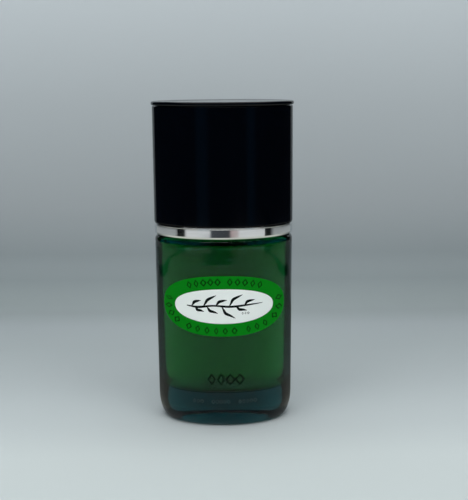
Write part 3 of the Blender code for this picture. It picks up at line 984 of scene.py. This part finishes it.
@dataclass
class LabelPrint:
    """What is printed on the label and under it: lozenge borders and a leaf sprig."""

    label: Label

    GROUPS = (
        (5, 124.4, 94.2),
        (5, 85.9, 53.6),
        (4, 169.8, 214.3),
        (6, 234.2, 277.8),
        (3, 292.1, 314.4),
        (3, 333.4, 369.2),
    )

    def border_spots(self) -> list[tuple[float, float, float]]:
        """Places round the ring, in groups, each turned square to the ring."""
        middle = self.label.inner.toward(self.label.outer, 0.56)
        spots = []
        for count, start, end in self.GROUPS:
            for angle in middle.spread(math.radians(start), math.radians(end), count):
                across, up = middle.at(angle)
                ahead, behind = middle.at(angle + 0.02), middle.at(angle - 0.02)
                turn = math.atan2(ahead[1] - behind[1], ahead[0] - behind[0])
                spots.append((across, up, turn))
        return spots

    def sprig(self) -> list[Stroke]:
        """A leafy stem: a long brushed line with leaves springing from it, up and down."""
        stem = (
            (-17.2, 0.2, 0.2), (-12.0, -0.3, 0.55), (-5.0, 0.5, 0.42),
            (3.0, 0.0, 0.52), (11.0, 0.6, 0.4), (17.8, 1.1, 0.12),
        )
        leaves = (
            ((-15.0, 0.0), (-13.6, 2.1), (-10.6, 2.9)),
            ((-13.4, -0.2), (-12.2, -1.7), (-9.2, -2.4)),
            ((-9.6, 0.0), (-7.6, 3.2), (-3.6, 5.4)),
            ((-8.0, 0.1), (-6.4, -2.0), (-2.8, -3.2)),
            ((-3.8, 0.5), (-2.2, 2.4), (1.4, 3.2)),
            ((-1.2, 0.3), (0.8, -3.2), (5.2, -5.6)),
            ((2.4, 0.1), (4.2, 3.4), (8.6, 5.6)),
            ((5.4, 0.2), (7.2, -1.4), (10.6, -2.0)),
            ((9.4, 0.5), (10.8, 2.2), (14.2, 2.9)),
        )
        strokes = [stem]
        for (x0, z0), (x1, z1), (x2, z2) in leaves:
            rise = ((x0 + x1) / 2, (z0 + z1) / 2, 0.46)
            fall = ((x1 + x2) / 2, (z1 + z2) / 2 + 0.1, 0.5)
            strokes.append(((x0, z0, 0.14), rise, (x1, z1, 0.66), fall, (x2, z2, 0.08)))
        return strokes

    def build(self) -> None:
        """Prints and places every mark."""
        label = self.label
        lozenges = Lozenges(label)
        green_ink, ink = GREEN_INK.material(), INK.material()
        border = lozenges.build("label_border_marks", self.border_spots(), 1.0, label.top, green_ink)
        place(border, Body.BOTTLE, Slot.GREEN)
        sprig = label.brush("label_leaf_sprig", self.sprig(), label.top, ink)
        place(sprig, Body.BOTTLE, Slot.WHITE)
        drops = [((8.6 + 1.3 * i) * MM, -3.3 * MM, 0.0) for i in range(3)]
        place(lozenges.build("label_small_marks", drops, 0.36, label.top, ink), Body.BOTTLE, Slot.WHITE)
        lower = [((-6.1 + 4.4 * i) * MM, (24.6 * MM) - label.centre, 0.0) for i in range(4)]
        place(lozenges.build("lower_marks", lower, 1.65, 0.0, ink), Body.BOTTLE, Slot.GREEN)
        steps = [i for i in range(17) if i not in (3, 4, 10, 11)]
        foot = [((-14.4 + 1.8 * i) * MM, (13.4 * MM) - label.centre, 0.0) for i in steps]
        place(lozenges.build("foot_marks", foot, 0.62, 0.0, PALE_INK.material()), Body.BOTTLE, Slot.GREEN)


# ---------------------------------------------------------------- collar


@dataclass
class Collar:
    """The black collar snapped on the neck, with its spigot, and the chrome band round it."""

    carrier: NodeSize
    band: NodeSize
    spigot: tuple[float, float] = (29.45 * MM, 16.45 * MM)
    spigot_wall: float = 1.5 * MM
    spigot_top: float = 103.4 * MM
    well_floor: float = 95.7 * MM
    deck: float = 96.8 * MM
    hole: float = 10.3 * MM
    band_wall: float = 0.6 * MM
    lip_rise: float = 0.62 * MM
    bevel_rise: float = 0.75 * MM
    sides: int = 160

    def plate(self) -> bpy.types.Object:
        """The moulded collar: deck, spigot wall, well and round hole."""
        wide, deep, low = self.carrier.half_width, self.carrier.half_depth, self.carrier.low
        (out_x, out_y), wall, r, hole = self.spigot, self.spigot_wall, 0.25 * MM, self.hole
        in_x, in_y, deck, top, floor = out_x - wall, out_y - wall, self.deck, self.spigot_top, self.well_floor
        points = stepped(wide, deep, ((r, low), (0.0, low + r), (0.0, deck - r), (r, deck)))
        points += stepped(out_x, out_y, (
            (-r, deck), (0.0, deck + r), (0.0, top - 2 * r), (r, top - r / 2), (2 * r, top),
        ))
        points += stepped(in_x, in_y, (
            (-r, top), (0.0, top - r), (0.0, floor + 2 * r), (r, floor + r / 2), (2 * r, floor),
        ))
        edge, shares = hole + r, between(0.0, 1.0, 4)
        x, y = in_x - 2 * r, in_y - 2 * r
        points += [(x + (edge - x) * t, y + (edge - y) * t, floor) for t in shares]
        points += rounds(((edge, floor), (hole, floor - r), (hole, low + r), (edge, low)))
        points += [(edge + (wide - hole - 2 * r) * t, edge + (deep - hole - 2 * r) * t, low) for t in shares]
        return lathe("collar_moulding", points, self.sides, Ends.JOINED, CAP_BLACK.material())

    def ring(self) -> bpy.types.Object:
        """The plated band: a rolled top lip, a plain face and a turned-in lower edge."""
        low, high = self.band.low, self.band.high
        lip, bevel = high - self.lip_rise, low + self.bevel_rise
        profile = [
            (0.60, low + 0.10 * MM), (0.50, low), (0.36, low + 0.03 * MM), (0.30, low + 0.12 * MM),
            (0.28, low + 0.18 * MM), (0.07, bevel - 0.14 * MM), (0.05, bevel - 0.08 * MM), (0.01, bevel),
            (0.0, bevel + 0.06 * MM), (0.0, bevel + 0.14 * MM), (0.0, (low + high) / 2),
            (0.0, lip - 0.18 * MM), (0.0, lip - 0.10 * MM), (0.02, lip - 0.04 * MM), (0.07, lip),
            (0.03, lip + 0.06 * MM), (0.0, lip + 0.14 * MM), (0.0, high - 0.3 * MM),
            (0.05, high - 0.12 * MM), (0.16, high - 0.02 * MM), (0.30, high),
            (0.48, high - 0.02 * MM), (0.60, high - 0.14 * MM),
        ]
        insets = [(inset * MM, z) for inset, z in profile]
        points = stepped(self.band.half_width, self.band.half_depth, insets)
        return lathe("collar_band", points, self.sides, Ends.JOINED, CHROME.material())

    def build(self) -> None:
        """Makes and places both pieces."""
        place(self.plate(), Body.BOTTLE, Slot.CAP, "collar_carrier")
        place(self.ring(), Body.BOTTLE, Slot.CHROME, "chrome_band")


# ---------------------------------------------------------------- neck fittings


@dataclass
class PourPlug:
    """The natural plug pressed in the neck, with a sunk well and a small hole."""

    size: NodeSize
    flange: float = 0.8 * MM
    stem: float = 5.8 * MM
    well: float = 4.5 * MM
    floor: float = 1.0 * MM
    orifice: float = 2.3 * MM
    sides: int = 96

    def build(self) -> None:
        """Makes and places the plug."""
        low, high = self.size.low, self.size.high
        under, radius, floor, r = high - self.flange, self.size.half_width, low + self.floor, 0.12 * MM
        profile = [
            (self.well + r, high), (radius - 2 * r, high), (radius, high - 2 * r), (radius, under + r),
            (radius - r, under), (self.stem + r, under), (self.stem, under - r), (self.stem, floor),
            (self.well + r, low), (self.orifice + r, low), (self.orifice, low + r),
            (self.orifice, floor + 3 * r), (self.orifice + r, floor + 4 * r),
            (self.orifice + 4 * r, floor + 4 * r), (self.orifice + 5 * r, floor),
            (self.well - r, floor), (self.well, floor + r), (self.well, high - r),
        ]
        plug = lathe("neck_pour_plug", rounds(profile), self.sides, Ends.JOINED, PLUG_WHITE.material())
        place(plug, Body.BOTTLE, Slot.PLUG, "pour_plug")


@dataclass
class ScrewClosure:
    """The small ribbed screw closure under the overcap, and the wad that seals it."""

    size: NodeSize
    liner: NodeSize
    body: float = 12.25 * MM
    bore: float = 11.15 * MM
    roof: float = 1.8 * MM
    edge: float = 0.6 * MM
    rib_margin: float = 1.2 * MM
    rib_count: int = 36
    rib_reach: float = 0.33 * MM
    rib_sunk: float = 0.2 * MM
    rib_half: float = 0.42 * MM
    thread_low: float = 102.19 * MM
    thread_turns: float = 1.25
    sides: int = 120
    thread_step: float = 0.2 * MM

    def shell(self) -> bpy.types.Object:
        """The cup with its inner thread and a shallow dished top."""
        low, high, r = self.size.low, self.size.high, 0.2 * MM
        roof = high - self.roof
        dish = ((4.0, 0.25), (8.0, 0.25), (9.2, 0.2), (9.7, 0.0))
        profile = [(radius * MM, high - drop * MM) for radius, drop in dish]
        profile += [(self.body - inset, high - drop) for inset, drop in arc_steps(self.edge, self.edge, 6)]
        profile += [(self.body, low + r), (self.body - r, low), (self.bore + r, low), (self.bore, low + r)]
        rows = [oval_row(radius, radius, z, self.sides) for radius, z in profile]
        rows += Thread(self.thread_low, self.thread_turns).rows(self.bore, -1.0, self.sides, self.thread_step)
        ceiling = ((self.bore, roof - r), (self.bore - r, roof), (4 * MM, roof))
        rows += [oval_row(radius, radius, z, self.sides) for radius, z in ceiling]
        return skin("closure_cup", rows, Ends.POLES, CLOSURE_BLACK.material())

    def ribs(self) -> bpy.types.Object:
        """Grip ribs, each a half-round bar with rounded ends, set round the wall."""
        model = NodeModel("grip_ribs")
        count, radius = model.size("Count", "NodeSocketInt"), model.size("Radius")
        spread = {"Vertices": count, "Radius": radius}
        ring = model.node("GeometryNodeMeshCircle", {"fill_type": "NONE"}, spread)
        where = model.node("GeometryNodeInputPosition", {}, {})
        apart = model.node("ShaderNodeSeparateXYZ", {}, {0: where.outputs[0]})
        legs = {0: apart.outputs[1], 1: apart.outputs[0]}
        angle = model.node("ShaderNodeMath", {"operation": "ARCTAN2"}, legs)
        spin = model.node("ShaderNodeCombineXYZ", {}, {"Z": angle.outputs[0]})
        copies = model.node("GeometryNodeInstanceOnPoints", {}, {
            "Points": ring.outputs[0], "Instance": model.source.outputs["Geometry"],
            "Rotation": spin.outputs[0],
        })
        sizes = {"Count": self.rib_count, "Radius": self.body}
        bar, black = self._rib_mesh(), CLOSURE_BLACK.material()
        return outwards(model.apply("closure_grip_ribs", bar, copies.outputs[0], black, sizes))

    def _rib_mesh(self) -> bpy.types.Mesh:
        """One rib, standing out along +X from the origin."""
        low, high = self.size.low + self.rib_margin, self.size.high - self.rib_margin
        taper = ((0.0, 0.0), (0.15, 0.6), (0.4, 1.0))
        levels = [(low + rise * MM, full) for rise, full in taper]
        levels += [(high - drop * MM, full) for drop, full in reversed(taper)]
        shape = bmesh.new()
        loops = []
        for z, full in levels:
            loop = [shape.verts.new((-self.rib_sunk, side * self.rib_half, z)) for side in (1, -1)]
            for i in range(5):
                a = -math.pi / 2 + math.pi * (i + 0.5) / 5
                out, across = self.rib_reach * full * math.cos(a), self.rib_half * math.sin(a)
                loop.append(shape.verts.new((out, across, z)))
            loops.append(loop)
        for lower, upper in zip(loops, loops[1:]):
            for i in range(len(lower)):
                j = (i + 1) % len(lower)
                shape.faces.new((lower[i], lower[j], upper[j], upper[i]))
        shape.faces.new(loops[0])
        shape.faces.new(loops[-1])
        mesh = bpy.data.meshes.new("grip_rib")
        shape.to_mesh(mesh)
        shape.free()
        return mesh

    def wad(self) -> bpy.types.Object:
        """The sealing wad, with softened edges and a pressed ring."""
        low, high, radius, r = self.liner.low, self.liner.high, self.liner.half_width, 0.15 * MM
        profile = [
            (3 * MM, high), (radius - r, high), (radius, high - r), (radius, low + r), (radius - r, low),
            (9.6 * MM, low), (9.4 * MM, low + 0.08 * MM), (8.2 * MM, low + 0.08 * MM), (8.0 * MM, low),
            (3 * MM, low),
        ]
        return lathe("closure_wad", rounds(profile), self.sides, Ends.POLES, WAD_WHITE.material())

    def build(self) -> None:
        """Makes and places the cup, its ribs and the wad."""
        place(self.shell(), Body.CLOSURE, Slot.CLOSURE, "screw_cap")
        place(self.ribs(), Body.CLOSURE, Slot.CLOSURE)
        place(self.wad(), Body.LINER, Slot.LINER, "cap_liner")


# ---------------------------------------------------------------- overcap


@dataclass
class Overcap:
    """The tall black cap: a drafted oval shell, a beaded top plate and the insert that grips the spigot."""

    shell: NodeSize
    top: NodeSize
    insert: NodeSize
    draft: float = 0.35 * MM
    wall: float = 1.5 * MM
    insert_wall: float = 1.2 * MM
    insert_draft: float = 0.175 * MM
    lip: tuple[float, float] = (30.65 * MM, 17.65 * MM)
    lip_wall: float = 1.2 * MM
    plate: float = 1.9 * MM
    bead: float = 0.85 * MM
    dish: float = 0.25 * MM
    sides: int = 160

    def sleeve(self) -> bpy.types.Object:
        """The drafted wall, rounded at its lower edge."""
        low, high, draft, wall = self.shell.low, self.shell.high, self.draft, self.wall
        foot, rim = arc_steps(0.55 * MM, 0.5 * MM, 6), arc_steps(0.3 * MM, 0.3 * MM, 4)
        profile = [(inset, low + rise) for inset, rise in foot]
        profile.append((0.001 * MM, low + 0.62 * MM))
        profile += [(draft * t, low + (high - low) * t) for t in (0.02, *between(0.02, 0.98, 8), 0.98)]
        profile += [(draft + inset, high - drop) for inset, drop in reversed(rim)]
        profile += [(draft + wall, high), (wall, low + 0.3 * MM), (wall - 0.3 * MM, low)]
        points = stepped(self.shell.half_width, self.shell.half_depth, profile)
        return lathe("overcap_sleeve", points, self.sides, Ends.JOINED, CAP_BLACK.material())

    def lid(self) -> bpy.types.Object:
        """The top plate: a rounded bead round a slightly dished face, with a lip that plugs the sleeve."""
        wide, deep, high = self.top.half_width, self.top.half_depth, self.top.high
        under = high - self.plate
        profile = [(inset, high - self.dish) for inset in (14 * MM, 6 * MM, 2.6 * MM)]
        profile += [(1.9 * MM, high - self.dish * 0.55), (1.4 * MM, high - self.dish * 0.1), (1.1 * MM, high)]
        curve = arc_steps(self.bead, self.bead, 8)
        profile += [(inset, high - drop) for inset, drop in curve]
        profile += [(inset, under + rise) for inset, rise in reversed(curve)]
        points = stepped(wide, deep, profile)
        lip_x, lip_y = self.lip
        in_x, in_y, low = lip_x - self.lip_wall, lip_y - self.lip_wall, self.top.low
        points += stepped(lip_x, lip_y, ((0.0, under), (0.0, low + 0.3 * MM), (0.3 * MM, low)))
        points += [(in_x, in_y, low), (in_x, in_y, under), (in_x * 0.5, in_y * 0.5, under)]
        return lathe("overcap_lid", points, self.sides, Ends.POLES, CAP_BLACK.material())

    def gripper(self) -> bpy.types.Object:
        """The natural insert: an oval cup, open below."""
        wide, deep = self.insert.half_width, self.insert.half_depth
        low, high = self.insert.low, self.insert.high
        wall, draft, r = self.insert_wall, self.insert_draft, 0.3 * MM
        roof, inner = high - wall, wall + draft
        points = [(wide * 0.5, deep * 0.5, high)]
        points += stepped(wide, deep, (
            (draft + 3 * r, high), (draft + r, high - r * 0.5), (draft, high - 2 * r),
            (0.0, low + r), (r, low), (wall - r, low), (wall, low + r), (inner, roof - r), (inner + r, roof),
        ))
        points.append((wide * 0.5, deep * 0.5, roof))
        return lathe("overcap_gripper", points, self.sides, Ends.POLES, NATURAL.material())

    def build(self) -> None:
        """Makes and places the three pieces."""
        place(self.sleeve(), Body.OVERCAP, Slot.CAP, "overcap_shell")
        place(self.lid(), Body.OVERCAP, Slot.CAP, "overcap_top")
        place(self.gripper(), Body.OVERCAP, Slot.INSERT, "overcap_insert")


# ---------------------------------------------------------------- studio

# Painted shade on the paper: its tones, darkest where the wall meets the floor and lighter up the wall, by the
# share of the way from its front edge up to the top of the wall.
PAPER_SHADE_TONES = (
    (0.0, (0.53, 0.58, 0.58)), (0.273, (0.534, 0.585, 0.584)), (0.295, (0.54, 0.59, 0.59)),
    (0.32, (0.481, 0.527, 0.534)), (0.361, (0.424, 0.466, 0.476)), (0.414, (0.378, 0.420, 0.430)),
    (0.447, (0.365, 0.405, 0.420)), (0.4855, (0.283, 0.323, 0.329)), (0.508, (0.265, 0.304, 0.314)),
    (0.522, (0.325, 0.364, 0.378)), (0.553, (0.393, 0.423, 0.439)), (0.607, (0.461, 0.496, 0.515)),
    (0.658, (0.563, 0.605, 0.628)), (0.80, (0.70, 0.74, 0.76)),
)
# Glow colours of the cards that paint reflections in polished surfaces.
DIM, SOFT, GLOW = (0.012, 0.014, 0.018), (0.33, 0.36, 0.36), (0.66, 0.69, 0.70)
STREAK, SIDE = (0.02, 0.07, 0.12), (0.15, 0.17, 0.16)
BRIGHT, FLOOR_BRIGHT = (0.52, 0.55, 0.48), (0.55, 0.58, 0.52)
# Painted reflections: glow tones round the object in degrees off the front: pale windows, what is over them
# and what is under them.
WINDOW_REFLECTION_TONES = (
    (-180, SOFT), (-62, SOFT), (-52, DIM), (-46, DIM), (-43, GLOW), (-15, GLOW), (-13, (0.06, 0.07, 0.08)),
    (6, (0.05, 0.055, 0.06)), (8, (0.45, 0.36, 0.36)), (15, (0.5, 0.45, 0.45)), (17, GLOW), (50, GLOW),
    (53, DIM), (58, DIM), (66, SOFT), (180, SOFT),
)
ABOVE_REFLECTION_TONES = (
    (-180, DIM), (-31, DIM), (-27, STREAK), (-18, STREAK), (-14, DIM), (24, DIM), (27, STREAK), (33, STREAK),
    (37, DIM), (180, DIM),
)
HAZE_REFLECTION_TONES = (
    (-180, SIDE), (-115, SIDE), (-80, BRIGHT), (-26, BRIGHT), (-18, DIM), (5, DIM), (16, BRIGHT),
    (80, BRIGHT), (115, SIDE), (180, SIDE),
)
# Painted floor reflection: glow tones of the ring laid on the floor, seen only in polished surfaces.
APRON_REFLECTION_TONES = (
    (-180, SIDE), (-115.2, SIDE), (-79.2, FLOOR_BRIGHT), (79.2, FLOOR_BRIGHT), (115.2, SIDE), (180, SIDE),
)
# Dark stepped cards that paint dark reflections: name, way round, (first angle, last angle, z) of each step,
# and the foot's angles.
WEDGES = (
    ("left", -1.0,
     ((50, 59, 0.022), (63, 69, 0.015), (72, 78, 0.010), (78, 115, 0.003), (80, 115, 0.0015)), (81, 114, 96)),
    ("right", 1.0,
     ((47, 56, 0.022), (58, 65, 0.015), (64, 72, 0.010), (72, 112, 0.003), (74, 112, 0.0015)), (76, 112, 90)),
)
# Name, place, target, size, power and whether polished surfaces mirror it.
LIGHTS = (
    ("light_above", (0.0, -0.10, 0.85), (0.0, 0.0, 0.0), 0.9, 6.4, True),
    ("light_left", (-0.75, -0.55, 0.55), (0.0, 0.0, 0.07), 0.6, 2.6, False),
    ("light_right", (0.75, -0.55, 0.55), (0.0, 0.0, 0.07), 0.6, 2.2, False),
)


@dataclass
class Studio:
    """Pale sweep with painted shade, soft lights, the camera, and cards that only reflections see, which paint
    reflections.
    """

    wall_y: float = 0.200
    fillet: float = 0.035
    reach: float = 1.6
    wall_top: float = 1.3
    camera_place: Point = (0.003035, -0.3625, 0.16481)
    camera_yaw: float = 0.005114
    camera_pitch: float = 0.222992
    camera_roll: float = -0.006902
    focal_length: float = 56.02
    # Sizes of the glowing and dark cards that paint reflections: the surround, the apron, the flags and the
    # wedges.
    hood_radius: float = 0.34
    hood_height: float = 0.6
    window_low: float = 0.021
    window_high: float = 0.034
    ring_sides: int = 72
    apron_inner: float = 0.036
    apron_lift: float = 0.5 * MM
    flag_radius: float = 0.25
    flag_foot: float = 0.040
    flag_height: float = 0.060
    flag_half: float = 5.0
    flag_centres: tuple[float, float] = (-52.0, 54.0)
    wedge_gap: float = 0.004
    wedge_lift: float = 0.0015
    wedge_reach: tuple[float, float] = (0.318, 0.299)
    air: Colour = (0.36, 0.41, 0.44)

    def sweep_material(self) -> bpy.types.Material:
        """Matt paper with painted shade in its colour, darker where the wall meets the floor and lighter up
        the wall, seen only from its front.
        """
        graph = ShaderGraph("pale_paper_painted_shade")
        along = (graph.axis("Y") + graph.axis("Z") * 0.9 + 0.4) / 1.2
        # Its base colour is painted shade: a dark band where the wall meets the floor, paler up the wall.
        paper = graph.node("ShaderNodeBsdfPrincipled", {}, {
            "Base Color": graph.ramp(along, PAPER_SHADE_TONES),
            "Roughness": 0.85,
            "Specular IOR Level": 0.2,
            "Normal": graph.bump(graph.noise(700.0, 3.0), 0.05, 0.1 * MM),
        })
        clear = graph.node("ShaderNodeBsdfTransparent", {}, {})
        back = graph.add("ShaderNodeNewGeometry", {}, {}, "Backfacing")
        return graph.finish(
            graph.node("ShaderNodeMixShader", {}, {"Fac": back, 1: paper.outputs[0], 2: clear.outputs[0]})
        )

    def sweep(self) -> None:
        """The floor that curves up into a wall behind, and a plain floor beyond it."""
        finish = self.sweep_material()
        start, r, drop, bends = self.wall_y - self.fillet, self.reach, -0.4 * MM, 12
        profile = [(-r, 0.0), (start, 0.0)]
        for i in range(1, bends + 1):
            a = math.pi / 2 * i / bends
            profile.append((start + self.fillet * math.sin(a), self.fillet * (1 - math.cos(a))))
        profile.append((self.wall_y, self.wall_top))
        points = [(x, y, z) for y, z in profile for x in (-r, r)]
        self._sheet("studio_sweep", points, self._strip(len(profile)), finish)
        corners = [(-r, -r, drop), (r, -r, drop), (r, r, drop), (-r, r, drop)]
        self._sheet("studio_floor", corners, [(0, 1, 2, 3)], finish)

    @staticmethod
    def _strip(rungs: int) -> list[tuple[int, ...]]:
        """Faces between rungs of two points each."""
        return [(2 * i, 2 * i + 1, 2 * i + 3, 2 * i + 2) for i in range(rungs - 1)]

    @staticmethod
    def _sheet(
        name: str, points: list[Point], faces: list[tuple[int, ...]], finish: bpy.types.Material
    ) -> bpy.types.Object:
        """A staged sheet of faces."""
        mesh = bpy.data.meshes.new(name)
        mesh.from_pydata(points, [], faces)
        mesh.shade_smooth()
        mesh.materials.append(finish)
        made = bpy.data.objects.new(name, mesh)
        bpy.context.scene.collection.objects.link(made)
        return made

    def _card(
        self, name: str, points: list[Point], faces: list[tuple[int, ...]], finish: bpy.types.Material
    ) -> None:
        """A sheet that is visible only to reflections."""
        made = self._sheet(name, points, faces, finish)
        for flag in ("camera", "diffuse", "transmission", "shadow", "volume_scatter"):
            setattr(made, f"visible_{flag}", False)

    def _ring(
        self, name: str, circles: tuple[tuple[float, float], ...], graph: ShaderGraph, colour: Signal
    ) -> None:
        """A glowing card between two circles, each a radius and a z, seen only in reflections: a painted
        reflection.
        """
        glow = graph.finish(graph.node("ShaderNodeEmission", {}, {"Color": colour, "Strength": 1.0}))
        sides = self.ring_sides
        points = [point for radius, z in circles for point in oval_row(radius, radius, z, sides)]
        faces = [(i, (i + 1) % sides, sides + (i + 1) % sides, sides + i) for i in range(sides)]
        self._card(name, points, faces, glow)

    def surround(self) -> None:
        """Painted reflections for polished surfaces: a glowing card of a dark wall with pale windows low down,
        and a glowing ring of floor.
        """
        graph = ShaderGraph("painted_reflection_glow")
        rise = graph.axis("Z")
        over = ((rise - self.window_low) / 0.004).clamped()
        low_glow = graph.blend(over, graph.by_angle(HAZE_REFLECTION_TONES), graph.by_angle(WINDOW_REFLECTION_TONES))
        colour = graph.blend(((rise - self.window_high) / 0.003).clamped(), low_glow, graph.by_angle(ABOVE_REFLECTION_TONES))
        radius, lift = self.hood_radius, self.apron_lift
        self._ring("painted_reflection_surround", ((radius, 0.0), (radius, self.hood_height)), graph, colour)
        # The apron is a glowing ring on the floor: a painted reflection of the floor in polished surfaces.
        graph = ShaderGraph("painted_floor_reflection")
        self._ring("floor_reflection_apron", ((self.apron_inner, lift), (radius, lift)), graph, graph.by_angle(APRON_REFLECTION_TONES))

    def dark_reflection_cards(self) -> None:
        """Dark cards in front of the windows and low on each side, seen only in polished surfaces: painted
        dark reflections.
        """
        graph = ShaderGraph("painted_dark_reflection")
        shade = graph.blend(graph.noise(300.0), (0.010, 0.012, 0.014), (0.016, 0.018, 0.020))
        dark = graph.finish(graph.node("ShaderNodeBsdfDiffuse", {}, {"Color": shade, "Roughness": 0.5}))
        for side, centre in zip(("left", "right"), self.flag_centres):
            turns = (centre - self.flag_half, centre + self.flag_half)
            levels = (self.flag_foot, self.flag_height)
            points = [self._around(turn, self.flag_radius, z) for z in levels for turn in turns]
            self._card(f"dark_reflection_flag_{side}", points, [(0, 1, 3, 2)], dark)
        near = self.hood_radius - self.wedge_gap
        far, nearest = self.wedge_reach
        for side, way, steps, (first, last, middle) in WEDGES:
            points = [self._around(way * turn, near, z) for low, high, z in steps for turn in (low, high)]
            foot = ((far, first), (far, last), (nearest, middle), (nearest, last))
            points += [self._around(way * turn, radius, self.wedge_lift) for radius, turn in foot]
            self._card(f"dark_reflection_wedge_{side}", points, self._strip(len(steps) + 2), dark)

    @staticmethod
    def _around(degrees: float, radius: float, z: float) -> Point:
        """A point round the object, by its angle off the front."""
        a = math.radians(degrees)
        return (radius * math.sin(a), -radius * math.cos(a), z)

    def lights(self) -> None:
        """One broad light above and one soft fill from each front side, in even pale air."""
        for name, spot, target, size, power, shiny in LIGHTS:
            data = bpy.data.lights.new(name, "AREA")
            data.size, data.energy = size, power
            lamp = bpy.data.objects.new(name, data)
            lamp.location = spot
            lamp.rotation_euler = (Vector(target) - Vector(spot)).to_track_quat("-Z", "Y").to_euler()
            lamp.visible_glossy = shiny
            lamp.visible_camera = False
            bpy.context.scene.collection.objects.link(lamp)
        world = bpy.data.worlds.new("studio_air")
        bpy.context.scene.world = world
        world.use_nodes = True
        back = world.node_tree.nodes["Background"]
        back.inputs["Color"].default_value = (*self.air, 1.0)
        back.inputs["Strength"].default_value = 0.5

    def camera(self) -> None:
        """The camera, turned by its yaw, pitch and roll."""
        data = bpy.data.cameras.new("studio_camera")
        data.lens, data.sensor_width = self.focal_length, 36.0
        data.clip_start, data.clip_end = 0.01, 20.0
        eye = bpy.data.objects.new("studio_camera", data)
        yaw, pitch, roll = self.camera_yaw, self.camera_pitch, self.camera_roll
        ahead = Vector((math.sin(yaw) * math.cos(pitch), math.cos(yaw) * math.cos(pitch), -math.sin(pitch)))
        right = Vector((math.cos(yaw), -math.sin(yaw), 0.0))
        up = right.cross(ahead)
        across = right * math.cos(roll) + up * math.sin(roll)
        over = up * math.cos(roll) - right * math.sin(roll)
        turn = Matrix((across, over, -ahead)).transposed()
        eye.matrix_world = Matrix.Translation(Vector(self.camera_place)) @ turn.to_4x4()
        bpy.context.scene.collection.objects.link(eye)
        bpy.context.scene.camera = eye

    def build(self) -> None:
        """Sets the stage."""
        self.camera()
        self.sweep()
        self.surround()
        self.dark_reflection_cards()
        self.lights()
        bpy.context.scene.view_settings.view_transform = "Standard"


def main() -> None:
    """Builds each sub-assembly in order, then the stage."""
    logging.basicConfig(level=logging.INFO, format="%(message)s")
    carrier = NodeSize.of("collar_carrier")
    band = NodeSize.of("chrome_band")
    glass = NodeSize.of("glass_bottle")
    seat_gap, seam = 0.3 * MM, Label.seam
    GlassBottle(glass, carrier.low - seat_gap, NodeSize.of("aftershave_liquid").high).build()
    ring_low, ring_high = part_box("label_ring")
    field_low, field_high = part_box("label_centre")
    label = Label(
        glass,
        (ring_low.z + ring_high.z) / 2,
        Outline((ring_high.x - ring_low.x) / 2, (ring_high.z - ring_low.z) / 2, RING_POWER),
        Outline((field_high.x - field_low.x) / 2 + seam, (field_high.z - field_low.z) / 2 + seam, FIELD_POWER),
    )
    place(label.ring(), Body.BOTTLE, Slot.GREEN, "label_ring")
    place(label.field(), Body.BOTTLE, Slot.WHITE, "label_centre")
    LabelPrint(label).build()
    Collar(carrier, band).build()
    PourPlug(NodeSize.of("pour_plug")).build()
    ScrewClosure(NodeSize.of("screw_cap"), NodeSize.of("cap_liner")).build()
    Overcap(NodeSize.of("overcap_shell"), NodeSize.of("overcap_top"), NodeSize.of("overcap_insert")).build()
    Studio().build()


if __name__ == "__main__":
    main()
